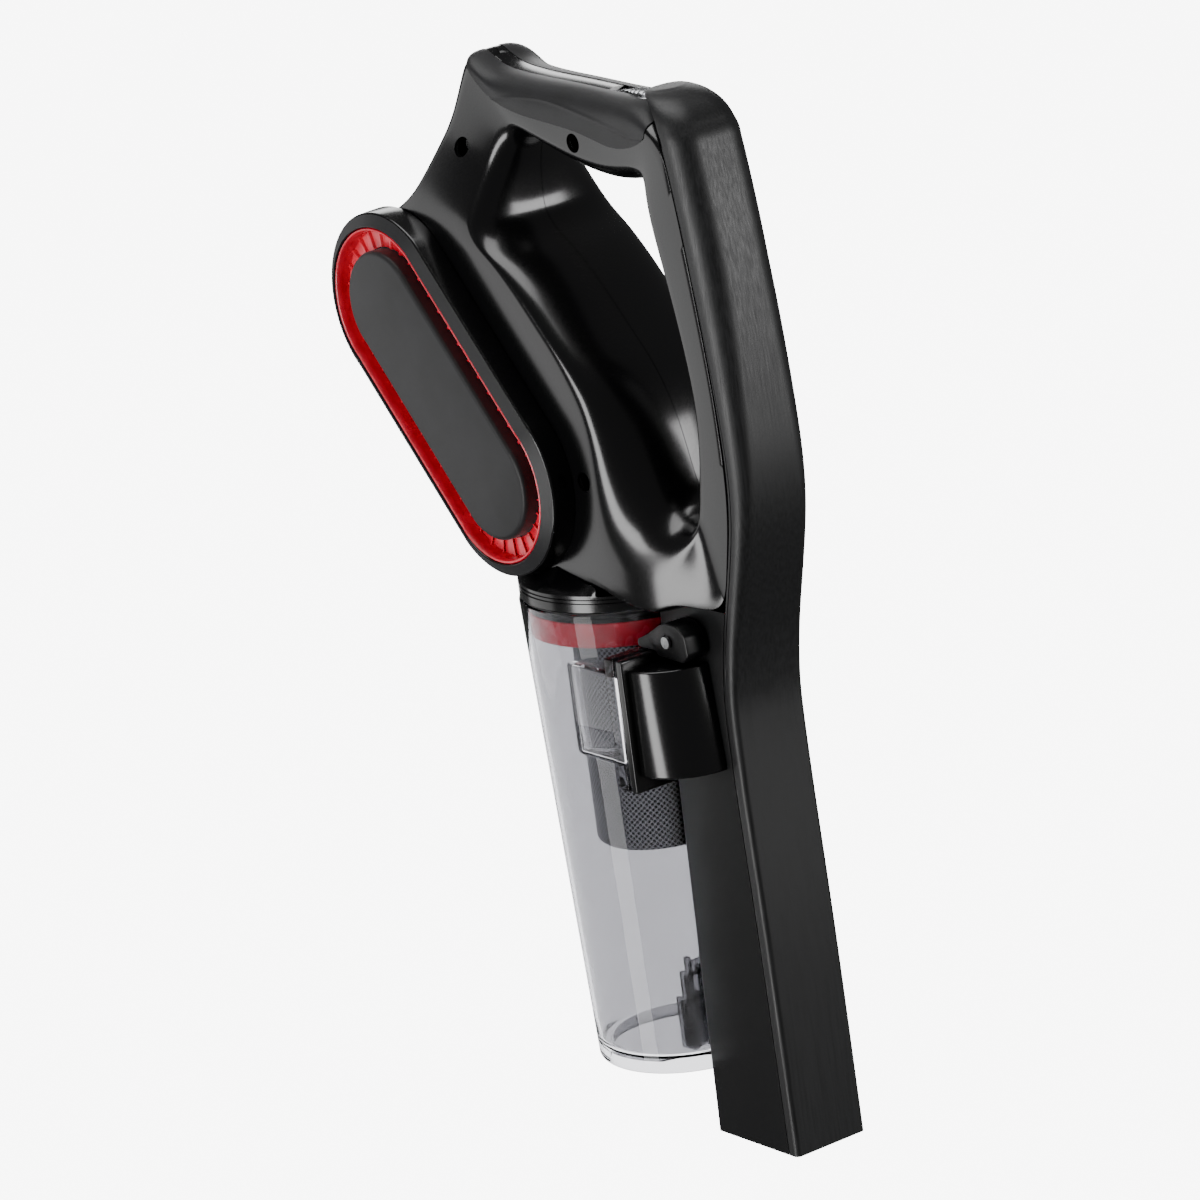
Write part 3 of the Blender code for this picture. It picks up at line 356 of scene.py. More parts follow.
def curveThrough(knots, count, closed=False):
    # Catmull-Rom curve through rows of numbers, at evenly spaced parameters.
    rows = np.asarray(knots, float)
    total = len(rows)
    if closed:
        place = np.arange(count) * total / count
        low = np.floor(place).astype(int)
        a, b, c, d = [rows[(low + shift) % total] for shift in (-1, 0, 1, 2)]
    else:
        padded = np.vstack([2 * rows[0] - rows[1], rows, 2 * rows[-1] - rows[-2]])
        place = np.linspace(0, total - 1, count)
        low = np.minimum(np.floor(place).astype(int), total - 2)
        a, b, c, d = [padded[low + shift] for shift in (0, 1, 2, 3)]
    u = (place - low)[:, None]
    square, cube = 2 * a - 5 * b + 4 * c - d, 3 * b - a - 3 * c + d
    return 0.5 * (2 * b + (c - a) * u + square * u ** 2 + cube * u ** 3)


def softened(rows, spread, closed=False):
    # Each row becomes a bell-weighted mean of its neighbours, which evens out the curvature.
    reach = int(3 * spread)
    bell = np.exp(-np.arange(-reach, reach + 1) ** 2 / (2 * spread ** 2))
    bell /= bell.sum()
    if closed:
        padded = np.vstack([rows[-reach:], rows, rows[:reach]])
    else:
        padded = np.vstack([2 * rows[0] - rows[reach:0:-1], rows, 2 * rows[-1] - rows[-2:-reach - 2:-1]])
    return np.stack([np.convolve(column, bell, "valid") for column in padded.T], axis=1)


def revolve(profile, centre, segments=144, closed=True):
    # Turn (radius, height) pairs about a vertical line: x = r cos a, y = r sin a, z = height.
    angle = np.arange(segments) * 2 * math.pi / segments
    radius, height = np.asarray(profile, float).T
    x = centre[0] + radius[:, None] * np.cos(angle)
    y = centre[1] + radius[:, None] * np.sin(angle)
    return loft(np.stack([x, y, np.broadcast_to(height[:, None], x.shape)], axis=-1), closed)


def roundedProfile(corners, radius, steps=5):
    # A closed outline whose corners are replaced by short quadratic arcs.
    corners = np.asarray(corners, float)
    before, after = np.roll(corners, 1, axis=0), np.roll(corners, -1, axis=0)
    out = []
    t = np.linspace(0, 1, steps)[:, None]
    for a, b, c in zip(before, corners, after):
        start = b + (a - b) * min(0.45, radius / max(np.linalg.norm(a - b), 1e-6))
        end = b + (c - b) * min(0.45, radius / max(np.linalg.norm(c - b), 1e-6))
        out.append((1 - t) ** 2 * start + 2 * t * (1 - t) * b + t ** 2 * end)
    return np.vstack(out)


def rolledRings(ringAt, low, high, edge, steps=5):
    # Rings from low to high; each end is drawn in by edge (1 - sin) over a rise of edge (1 - cos).
    turn = np.linspace(0, math.pi / 2, steps)
    inset, rise = edge * (1 - np.sin(turn)), edge * (1 - np.cos(turn))
    return ([ringAt(low + r, i) for i, r in zip(inset, rise)]
            + [ringAt(high - r, i) for i, r in zip(inset[::-1], rise[::-1])])


def blockSolid(low, high, radius, axis=2):
    # A block with rounded corners across one axis and rounded edges at its two ends.
    low, high = np.asarray(low, float), np.asarray(high, float)
    u, v = [i for i in range(3) if i != axis]

    def ringAt(place, shrink):
        (a, b), (c, d) = low[[u, v]] + shrink, high[[u, v]] - shrink
        outline = roundedProfile([(a, b), (c, b), (c, d), (a, d)], radius)
        ring = np.empty((len(outline), 3))
        ring[:, u], ring[:, v], ring[:, axis] = outline[:, 0], outline[:, 1], place
        return ring

    return loft(rolledRings(ringAt, low[axis], high[axis], radius))


# ---- the suction spine

spineHigh = nodeBox("back_cover")[1]
mouthLow = nodeBox("front_channel")[0]
spine = {
    "half": spineHigh[0], "mouthFront": mouthLow[1], "mouthBack": -mouthLow[1], "top": spineHigh[2],
    "lean": 0.018, "channelTop": nodeBox("front_channel")[1][2],
    # back line, as height and y from the mouth's rear edge
    "back": [(0, 0), (100, -2), (160, -4.5), (205, -5.5), (222, -4), (245, 1), (272, 9.5), (300, 17.5),
             (325, 20.5), (350, 20.3), (380, 18.8), (411, 16), (440, 12), (465, 7.5), (476, 4.5)],
    "domeStart": 466.0, "lip": 2.3, "lipGroove": 0.5, "tongue": 0.22,
}
backLine = softened(curveThrough(spine["back"], 400), 9)


def backAt(z):
    return spine["mouthBack"] + np.interp(z, backLine[:, 0], backLine[:, 1])


def cornerAt(z):
    return np.interp(z, [0, 215, 320, 410], [2.5, 3.0, 8.0, 12.5])


def seamAt(z):
    return backAt(z) - np.interp(z, [0, 215, 320, 410], [6.0, 6.5, 10.0, 13.0])


def coverLine(half, back, seam, radius, lip, steps=14):
    # Outer line of the cover for many heights: flank with a lip groove, corner, back, corner, flank.
    turn = np.linspace(0, math.pi / 2, steps)[None, :]
    one = np.ones((len(half), 1))
    half, back, seam, radius = half[:, None], back[:, None], seam[:, None], radius[:, None]
    room = np.maximum(back - radius - seam, 0.4) / spine["lip"]
    edge = np.minimum(room, 1.0)
    deep = lip[:, None] * spine["lipGroove"]
    flankX = np.hstack([half - 0.5 * one, half - 0.12, half, half, half - deep, half - deep, half])
    flankY = seam + edge * np.array([[0, 0.12, 0.5, 1.5, 1.6, 2.0, 2.1]])
    x = np.hstack([flankX, half - radius + radius * np.cos(turn)])
    y = np.hstack([flankY, back - radius + radius * np.sin(turn)])
    return np.hstack([x, -x[:, ::-1]]), np.hstack([y, y[:, ::-1]])


def makeBackCover():
    # The long brushed cover: one U section carried up the back line, then drawn in to a dome.
    # In the dome the half width is the cosine of the climb to the power 0.42, and the height its sine.
    heights = np.concatenate([np.linspace(0, 205, 30)[:-1], np.linspace(205, 345, 60)[:-1],
                              np.linspace(345, spine["domeStart"], 30)])
    climb = np.linspace(0, math.pi / 2, 26)[1:] * 0.985
    share = np.cos(climb) ** 0.42
    z = np.concatenate([heights, spine["domeStart"] + (spine["top"] - spine["domeStart"]) * np.sin(climb)
                        / math.sin(climb[-1])])
    share = np.concatenate([np.ones(len(heights)), share])
    drop = np.interp(1 - share, [0, 0.03, 0.1, 0.2, 0.34, 0.5, 0.9], [0, 3, 7, 12.5, 18.5, 23, 26])
    flat = np.minimum(z, spine["domeStart"])
    half, back, seam = spine["half"] * share, backAt(flat) - drop, seamAt(flat) - 0.9 * drop
    radius = np.minimum(np.minimum(cornerAt(flat), half - 0.5), back - seam - 0.3)
    groove = np.clip((z - 225) / 30, 0, 1) * (share >= 0.99)
    x, y = coverLine(half, back, seam, radius, groove)
    thick = wall + (1 - share) * 30
    innerHalf = np.maximum(half - thick, 0.15)
    innerBack = np.maximum(back - thick, seam + 0.4)
    innerRadius = np.clip(radius - wall, 0.1, np.minimum(innerHalf, innerBack - seam) * 0.9)
    xi, yi = coverLine(innerHalf, innerBack, seam, innerRadius, groove * 0)
    xi = np.sign(xi) * np.minimum(np.abs(xi) + 0.5, innerHalf[:, None])
    x, y = np.hstack([x, xi[:, ::-1]]), np.hstack([y, yi[:, ::-1] - spine["tongue"]])
    rings = np.stack([x, y, np.broadcast_to(z[:, None], x.shape)], axis=-1)
    cover = meshObject("backCover", [loft(rings)], "brushed_black_abs")
    return settle(cover, "housing", "back_cover")


filterLow, filterHigh = nodeBox("mesh_sleeve")
cupLow, cupHigh = nodeBox("dust_cup")
cup = {
    "axisY": (filterLow[1] + filterHigh[1]) / 2, "low": cupLow[2], "high": cupHigh[2],
    "foot": 41.6, "top": 50.6, "wall": 1.8, "floor": 8.0, "footRound": 2.6, "clearance": 0.8,
}


def cupRadius(z):
    return cup["foot"] + (cup["top"] - cup["foot"]) * (z - cup["low"]) / (cup["high"] - cup["low"])


def grooveAt(x, z):
    # Front of the spine: flat at the mouth, hollowed round the cup above it.
    flat = spine["mouthFront"] + spine["lean"] * z
    reach = cupRadius(np.maximum(z, cup["low"])) + cup["clearance"]
    hollow = cup["axisY"] + np.sqrt(np.maximum(reach ** 2 - x ** 2, 0))
    depth = np.clip((z - cup["low"] + 9) / 9, 0, 1)
    depth = depth * depth * (3 - 2 * depth)
    return flat + np.maximum(hollow - flat, 0) * depth


def channelLine(half, z, inset, steps=28):
    # One leg, a rounded front corner, the hollowed front, and back down the other leg.
    rear = seamAt(z) - gap
    inside = half - inset
    corner = 2.0
    turn = np.linspace(0, math.pi / 2, 7)[None, :]
    front = grooveAt(np.full_like(z, inside), z) + inset
    one = np.ones_like(z)
    sideX = np.hstack([one * (inside - 0.45), one * (inside - 0.1), one * inside,
                       one * (inside - corner + corner * np.cos(turn))])
    sideY = np.hstack([rear, rear - 0.1, rear - 0.5, front + corner - corner * np.sin(turn)])
    across = np.linspace(inside - corner, corner - inside, steps + 2)[1:-1][None, :]
    frontY = grooveAt(across * one, z) + inset
    x = np.hstack([sideX, across * one, -sideX[:, ::-1]])
    y = np.hstack([sideY, frontY, sideY[:, ::-1]])
    return x, y


def makeFrontChannel():
    # Front half of the spine's duct, a U section along the height.
    z = np.concatenate([np.linspace(0, 17, 6), np.linspace(18.5, 29, 14), np.linspace(33, 205, 44),
                        np.linspace(209, spine["channelTop"], 22)])[:, None]
    outerX, outerY = channelLine(spine["half"], z, 0.0)
    innerX, innerY = channelLine(spine["half"], z, wall)
    x, y = np.hstack([outerX, innerX[:, ::-1]]), np.hstack([outerY, innerY[:, ::-1]])
    rings = np.stack([x, y, np.broadcast_to(z, x.shape)], axis=-1)
    channel = meshObject("frontChannel", [loft(rings)], "satin_black_abs", 28)
    return settle(channel, "housing", "front_channel")


# ---- air port and elbow

elbowLow, elbowHigh = nodeBox("suction_elbow")
portFlange = {"low": elbowLow[2], "high": elbowHigh[2], "out": elbowHigh[0], "edge": 0.7}
elbow = {"out": 48.2, "low": 182.6, "high": 232.4, "rearLow": 13.8, "rearHigh": 9.4, "flange": 3.4,
         "front": elbowLow[1], "edge": 1.1}


def elbowRing(z, inset, ahead=0.0):
    # Plan of the elbow at a height: a quarter ellipse from its flange round to the spine's side.
    start = elbow["front"] + elbow["flange"]
    share = (z - elbow["low"]) / (elbow["high"] - elbow["low"])
    rear = elbow["rearLow"] + (elbow["rearHigh"] - elbow["rearLow"]) * share
    side = spine["half"] + gap
    turn = np.linspace(0, math.pi / 2, 40)
    x = side + (elbow["out"] - side - inset) * np.cos(turn)
    y = start + (rear - start - inset) * np.sin(turn)
    x = np.concatenate([[side, x[0]], x[1:]])
    y = np.concatenate([[start - ahead, start - ahead], y[1:]])
    return np.column_stack([x, y, np.full(len(x), float(z))])


def makeElbow():
    # Rolled rings of the plan, with the flange welded on and the air way cut through.
    start = elbow["front"] + elbow["flange"]
    rings = rolledRings(elbowRing, elbow["low"], elbow["high"], elbow["edge"])
    piece = meshObject("suctionElbow", [loft(rings)], "gloss_black_abs")
    weldOn(piece, blockSolid((spine["half"] + 1, elbow["front"], portFlange["low"]),
                             (portFlange["out"], start + 0.6, portFlange["high"]), portFlange["edge"], 1))
    hollow = [elbowRing(z, wall, 8) for z in (elbow["low"] + wall, elbow["high"] - wall)]
    hollow = [ring - np.array([0.6, 0, 0]) for ring in hollow]
    cutAway(piece, loft(hollow))
    smoothAgain(piece, 38)
    return settle(piece, "housing", "suction_elbow")


# ---- dust cup, its fittings and the filter

port = {"out": 50.6, "inside": 24.0, "low": 186.0, "high": 230.0, "front": -62.0, "corner": 9.0,
        "edge": 2.4, "flangeFront": -25.8, "flangeThick": 7.2}


def portRing(z, shrink):
    # Plan of the clear port: straight sides with a quarter round at the outer front corner.
    turn = np.linspace(0, math.pi / 2, 12)
    out, front, r = port["out"] - shrink, port["front"] + shrink, port["corner"]
    rear = port["flangeFront"] + 1
    x = np.concatenate([[port["inside"], port["inside"]], out - r * (1 - np.sin(turn)), [out]])
    y = np.concatenate([[rear, front], front + r * (1 - np.cos(turn)), [rear]])
    return np.column_stack([x, y, np.full(len(x), float(z))])


def makeDustCup():
    # Clear cone with a rounded foot, the port box and its flange, hollowed inside and under the floor.
    r = cup["footRound"]
    turn = np.linspace(0, math.pi / 2, 8)
    foot = [(cupRadius(cup["low"] + r) - r + r * math.sin(a), cup["low"] + r - r * math.cos(a)) for a in turn]
    top = cup["high"]
    outside = foot + [(cupRadius(z), z) for z in np.linspace(cup["low"] + 12, top - 1.2, 9)]
    outside += [(cupRadius(top) - 0.25, top - 0.35), (cupRadius(top) - 0.6, top)]
    centre = (0, cup["axisY"])
    piece = meshObject("dustCup", [revolve(outside, centre, closed=False)], "smoke_clear_pc")
    weldOn(piece, loft(rolledRings(portRing, port["low"], port["high"], port["edge"], 6)))
    flangeRear = port["flangeFront"] + port["flangeThick"]
    flange = blockSolid((spine["half"] + 1, port["flangeFront"], portFlange["low"]),
                        (portFlange["out"], flangeRear, portFlange["high"]), 0.9, 1)
    weldOn(piece, flange)
    floor, skin, fillet = cup["low"] + cup["floor"], cup["wall"], 4
    turn = np.linspace(0, math.pi / 2, 7)
    reach = cupRadius(floor + fillet) - skin - fillet
    inner = [(reach + fillet * math.sin(a), floor + fillet - fillet * math.cos(a)) for a in turn]
    inner += [(cupRadius(z) - skin, z) for z in np.linspace(floor + 14, top + 2, 8)]
    cutAway(piece, revolve(inner, centre, closed=False))
    way = blockSolid((port["inside"] + skin, cup["axisY"] + 16, port["low"] + skin),
                     (port["out"] - skin, port["flangeFront"] + 14.4, port["high"] - skin), 1.0, 1)
    cutAway(piece, way)
    under = [(cup["foot"] - 5, cup["low"] - 1), (cup["foot"] - 5.4, floor - cup["wall"] - 1),
             (cup["foot"] - 6.6, floor - cup["wall"])]
    cutAway(piece, revolve(under, centre, closed=False))
    smoothAgain(piece, 30)
    return settle(piece, "cup", "dust_cup")


def plateSolid(outline, *places):
    # A flat outline in y and z, carried between places along X.
    return loft([np.column_stack([np.full(len(outline), x), outline]) for x in places])


def makeCupFittings():
    # The red band inside the cup's mouth, and the stepped block whose ribs stand on a thinner core.
    ringLow, ringHigh = (nodeBox("cup_red_ring")[i][2] for i in (0, 1))
    centre = (0, cup["axisY"])
    fit = cup["wall"] + gap + 0.1
    corners = [(cupRadius(ringLow) - fit, ringLow), (cupRadius(ringHigh) - fit, ringHigh),
               (cupRadius(ringHigh) - fit - 3, ringHigh), (cupRadius(ringLow) - fit - 3, ringLow)]
    ring = revolve(roundedProfile(corners, 0.8), centre)
    ring = meshObject("cupRedRing", [ring], "red_translucent_pc", 50)
    settle(ring, "cup", "cup_red_ring")
    low, high = nodeBox("hinge_pocket")
    back = high[1]
    steps = {"depths": [13.0, 8.0, 3.5], "heights": [60.5, 74.0, 82.0], "ribs": 5, "ribWidth": 1.6}
    outline = [(back, low[2] + 3), (back - 3, low[2])]
    floor = low[2]
    for depth, top in zip(steps["depths"], steps["heights"]):
        outline += [(back - depth, floor), (back - depth, top)]
        floor = top
    outline.append((back, floor))
    solids = []
    for x in np.linspace(low[0], high[0] - steps["ribWidth"], steps["ribs"]):
        solids.append(plateSolid(roundedProfile(outline, 0.6, 4), x, x + steps["ribWidth"]))
    core = [(back, low[2] + 4), (back - 3.5, low[2] + 1)]
    floor = low[2] + 1
    for depth, top in zip(steps["depths"], steps["heights"]):
        core += [(back - depth + 2.2, floor), (back - depth + 2.2, top - 1.6)]
        floor = top - 1.6
    core.append((back, floor))
    solids.append(plateSolid(roundedProfile(core, 0.6, 4), low[0] + 0.8, high[0] - 0.8))
    pocket = meshObject("hingePocket", solids, "smoke_clear_pc")
    return settle(pocket, "cup", "hinge_pocket")


sleeve = {"foot": 3.0, "skin": 0.6, "hub": 4.0}


def makeMeshSleeve():
    # The filter's mesh: a cup-shaped skin with a UV that runs in millimetres round and up it.
    radius, low, top = filterHigh[0], filterLow[2], filterHigh[2]
    r, skin, hub = sleeve["foot"], sleeve["skin"], sleeve["hub"]
    turn = np.linspace(0, math.pi / 2, 7)
    outer = [(radius, z) for z in np.linspace(top, low + r, 20)]
    outer += [(radius - r + r * math.cos(a), low + r - r * math.sin(a)) for a in turn[1:]]
    outer += [(x, low) for x in (20.0, 12.0, hub)]
    inner = [(hub, low + skin), (radius - r, low + skin), (radius - skin, low + r), (radius - skin, top)]
    points, faces = revolve(outer + inner, (0, cup["axisY"]), 120)
    tube = meshObject("meshSleeve", [(points, faces)], "steel_mesh", 50)
    mesh = tube.data
    co = np.zeros(len(mesh.vertices) * 3)
    mesh.vertices.foreach_get("co", co)
    co = co.reshape(-1, 3) / mm
    index = np.zeros(len(mesh.loops), int)
    mesh.loops.foreach_get("vertex_index", index)
    angle = np.arctan2(co[index, 1] - cup["axisY"], co[index, 0])
    starts = np.zeros(len(mesh.polygons), int)
    mesh.polygons.foreach_get("loop_start", starts)
    first = np.repeat(angle[starts], 4)[:len(angle)]
    angle = np.where(angle - first > math.pi, angle - 2 * math.pi, angle)
    angle = np.where(first - angle > math.pi, angle + 2 * math.pi, angle)
    wrap = mesh.uv_layers.new(name="wrap")
    wrap.data.foreach_set("uv", np.column_stack([angle * radius, co[index, 2]]).ravel())
    return settle(tube, "filter", "mesh_sleeve")


# ---- body shells round the hand opening

ventLow, ventHigh = nodeBox("vent_ring_left")
rimLow, rimHigh = nodeBox("pod_rim_left")
panelHigh = nodeBox("pod_panel_left")[1]
pod = {
    "centre": ((ventLow[1] + ventHigh[1]) / 2, (ventLow[2] + ventHigh[2]) / 2),
    "tilt": 41.8, "half": 50.3, "shell": 4.2, "ring": 36.8, "rim": 6.6, "panel": 26.0,
    "base": rimLow[0], "top": rimHigh[0],
    "fins": 46, "finThick": 0.9, "finSlant": 0.6,
}
body = {"motor": 38.5, "grip": 17.5, "square": 0.84, "rows": 480, "strip": 4.2, "padLift": 0.22,
        "padThick": 0.9, "crown": 0.14}


def pillPoint(radius, degrees, cap):
    # A point at an angle from +Y on the pill's upper cap (cap = 1) or lower cap (-1).
    tilt, a = math.radians(pod["tilt"]), np.radians(degrees)
    y = pod["centre"][0] - cap * pod["half"] * math.sin(tilt) + radius * np.cos(a)
    z = pod["centre"][1] + cap * pod["half"] * math.cos(tilt) + radius * np.sin(a)
    return y, z


def bodyStations():
    # Sections round the opening: its edge y, z, the outline's y, z, the half width and two roundings.
    hull = pod["ring"] + pod["shell"]
    side = 270 - pod["tilt"]
    motor, grip = body["motor"], body["grip"]
    upperAt, lowerAt = lambda a: pillPoint(hull, a, 1), lambda a: pillPoint(hull, a, -1)
    lower, upper = lowerAt(side), upperAt(side)
    middle = tuple((a + b) / 2 for a, b in zip(lower, upper))
    rows = [
        ((2, 449), (2, 482.5), grip + 1, 9, 10), ((-20, 446), (-27, 484.6), grip, 11, 15),
        ((-44, 449), (-56, 486.2), grip, 11, 16), ((-66, 456), (-86, 487.4), grip + 0.5, 11, 16),
        ((-80, 461), (-108, 490), grip + 0.5, 11, 15), ((-88, 460), (-122.5, 497), grip + 0.5, 11, 12),
        ((-93, 454), (-129.5, 485), grip + 2, 11, 11), ((-95.5, 446), (-136, 468), grip + 5.5, 11, 10),
        ((-97, 436), (-144.5, 451), grip + 12, 11, 9), ((-97, 424), (-154, 433.5), motor - 2, 11, 7),
        ((-90, 415), upperAt(104), motor, 12, 6), ((-78, 407), upperAt(137), motor, 12, 6),
        ((-65, 396), upperAt(168), motor, 12, 6), ((-53, 384), upperAt(200), motor, 12, 6),
        ((-42, 372.5), upper, motor, 12, 6), ((-33, 363), middle, motor, 13, 6),
        ((-25, 352), lower, motor, 15, 6),
        ((-18, 338), lowerAt(262), motor, 22, 6), ((-13.5, 324), (-70, 264.5), motor, 32, 6),
        ((-10, 312), (-44, 260.5), motor, 40, 6), ((-6, 303), (-26, 256.5), motor - 1, 38, 5),
        ((0, 298.5), (-10, 253.2), motor - 4.5, 32, 4), ((7, 297.5), (4, 258), motor - 10, 22, 3),
        ((13, 301), (seamAt(258) - 2, 258), spine["half"] + 0.6, 8, 1),
    ]
    beside = [(17, 313, 280), (19.5, 331, 312), (20, 350, 350), (18, 370, 377), (14, 392, 402),
              (10, 411, 426), (6, 429, 450)]
    rows += [((y, z), (seamAt(far) - gap, far), spine["half"], 4, 0.8) for y, z, far in beside]
    rows.append(((4, 441), (seamAt(468) - 2, 470), spine["half"] - 0.5, 5, 3))
    return np.array([(*near, *far, *rest) for near, far, *rest in rows], float)


stations = bodyStations()
bodyLoop = curveThrough(stations, body["rows"], True)
bodyLoop = softened(bodyLoop, body["rows"] / len(stations) * 0.28, True)


def sectionLine(rows, grow, slot, steps):
    # Across each section, from the opening to the outline, as x and the distance from the opening.
    # Both roundings are superellipses: x follows sin^q and the distance 1 - cos^q of the same angle.
    # The flank between them is crowned a little, by 4 t (1 - t) of its share t.
    length = np.hypot(rows[:, 2] - rows[:, 0], rows[:, 3] - rows[:, 1])[:, None]
    half, near, far = (rows[:, i][:, None] for i in (4, 5, 6))
    half = half + grow
    turn = np.linspace(0, math.pi / 2, steps + 1)[None, :]
    across, rise = np.sin(turn) ** body["square"], 1 - np.cos(turn) ** body["square"]
    xNear = gap / 2 + (half - gap / 2) * across
    xFar = slot[:, None] + (half - slot[:, None]) * across
    sNear, sFar = -grow + near * rise, length + grow - far * rise
    share = np.linspace(0, 1, 7)[None, 1:-1]
    flank = sNear[:, -1:] * (1 - share) + sFar[:, -1:] * share
    x = np.hstack([xNear, half + body["crown"] * 4 * share * (1 - share), xFar[:, ::-1]])
    return x, np.hstack([sNear, flank, sFar[:, ::-1]]), length


def placed(rows, x, s, length):
    # Section coordinates to points: along the line from the opening's edge to the outline.
    dy, dz = (rows[:, 2] - rows[:, 0])[:, None] / length, (rows[:, 3] - rows[:, 1])[:, None] / length
    return np.stack([x + 0 * s, rows[:, 0][:, None] + s * dy, rows[:, 1][:, None] + s * dz], axis=-1)


def slotAt(rows):
    # Half width of the slot along the outline: room for the top strip, and the intake in the floor.
    y, z = rows[:, 2], rows[:, 3]
    strip = np.clip((y + 117) / 1.5, 0, 1) * np.clip((8 - y) / 1.5, 0, 1) * (z > 480)
    intake = np.clip((y + 92) / 4, 0, 1) * np.clip((-48 - y) / 4, 0, 1) * (z < 268)
    return gap / 2 + strip * (body["strip"] + gap / 2) + intake * 23.5


screws = {"front": (-120.5, 455.5, body["grip"] + 7.5), "grip": (-45.0, 462.6, body["grip"] - 0.5),
          "neck": (-41.0, 313.4, body["motor"] - 0.9)}
switchLow, switchHigh = nodeBox("switch_bezel")


def ovalRing(half, front, back, z, power=2.6, count=72):
    # A superellipse in plan with a constant height.
    a = np.arange(count) * 2 * math.pi / count
    x = half * np.sign(np.cos(a)) * np.abs(np.cos(a)) ** (2 / power)
    y = (front + back) / 2 + (back - front) / 2 * np.sign(np.sin(a)) * np.abs(np.sin(a)) ** (2 / power)
    return np.column_stack([x, y, np.full(count, float(z))])


def rodSolid(radius, low, high, y, z, count=40):
    # A plain rod along X, of one radius from end to end.
    a = np.arange(count) * 2 * math.pi / count
    return loft([np.column_stack([np.full(count, x), y + r * np.cos(a), z + r * np.sin(a)])
                 for x, r in ((low, radius), (high, radius))])


def makeShell(name, sign, node):
    # Half of the body: the section line outside, the same line a wall deeper inside.
    slot = slotAt(bodyLoop)
    outer = placed(bodyLoop, *sectionLine(bodyLoop, 0, slot, 15))
    inner = placed(bodyLoop, *sectionLine(bodyLoop, -wall, slot, 4))
    rings = np.concatenate([outer, inner[:, ::-1]], axis=1) * (sign, 1, 1)
    shell = meshObject(name, [loft(rings, True)], "gloss_black_abs", 40)
    room = gap + 0.05
    cuts = [loft([ovalRing(switchHigh[0] + room, switchLow[1] - room, switchHigh[1] + room, z)
                  for z in (switchLow[2] - 1.5, switchLow[2] + 20)])]
    if sign > 0:
        cuts += [rodSolid(4.4, side - 7, side + 9, y, z) for y, z, side in screws.values()]
    cutAway(shell, *cuts)
    smoothAgain(shell, 40)
    return settle(shell, "housing", node)


def makeScrews():
    # Pan heads at the bottom of the wells, with a cross recess.
    for label, (y, z, side) in screws.items():
        head = side - 7 + gap
        a = np.arange(48) * 2 * math.pi / 48
        rings = [np.column_stack([np.full(48, x), y + r * np.cos(a), z + r * np.sin(a)])
                 for x, r in ((head - 9, 1.5), (head, 1.5), (head, 3.4), (head + 1.0, 3.4),
                              (head + 1.6, 2.9), (head + 1.8, 1.6))]
        piece = meshObject("caseScrew" + label.capitalize(), [loft(rings)], "zinc_plate")
        for size in ((0.5, 2.1), (2.1, 0.5)):
            low, high = (head + 0.6, y - size[0], z - size[1]), (head + 4, y + size[0], z + size[1])
            cutAway(piece, blockSolid(low, high, 0.1, 0))
        smoothAgain(piece)
        settle(piece, "housing", "case_screw_" + label)


# ---- soft pads and the strip along the grip

padEdge = {
    "line": [(13.5, 477), (10, 470.5), (2, 466), (-8, 463.6), (-19, 463.4), (-30, 465.6), (-44, 468.3),
             (-64, 470.5), (-86, 473), (-103, 478), (-115, 487)],
    "crease": [(-119, 473.6), (-96, 478.5), (-76, 480.3), (-60, 479.7), (-37, 476), (-22, 473.5),
               (-2.5, 469.5)],
    "creaseHeight": 0.3, "creaseWidth": 0.7,
}


def gripRows(first, last, count):
    # Sections between two shares of the body's loop.
    at = (np.linspace(first, last, count) % 1) * body["rows"]
    low = np.floor(at).astype(int)
    part = (at - low)[:, None]
    return bodyLoop[low % body["rows"]] * (1 - part) + bodyLoop[(low + 1) % body["rows"]] * part


def padLine(rows, grow, steps=160):
    # The grip's flank and shoulder as a dense line: x, distance and the points' y and z.
    length = np.hypot(rows[:, 2] - rows[:, 0], rows[:, 3] - rows[:, 1])[:, None]
    turn = np.linspace(math.pi / 2, 0, steps)[None, :]
    half = rows[:, 4][:, None] + grow
    low = body["strip"] + gap
    shoulder = low + (half - low) * np.sin(turn) ** body["square"]
    rise = length + grow - rows[:, 6][:, None] * (1 - np.cos(turn) ** body["square"])
    flank = 8 + (rise[:, :1] - 8) * np.linspace(0, 1, steps // 2)[None, :-1]
    x = np.hstack([half + 0 * flank, shoulder])
    s = np.hstack([flank, rise])
    return x, s, length


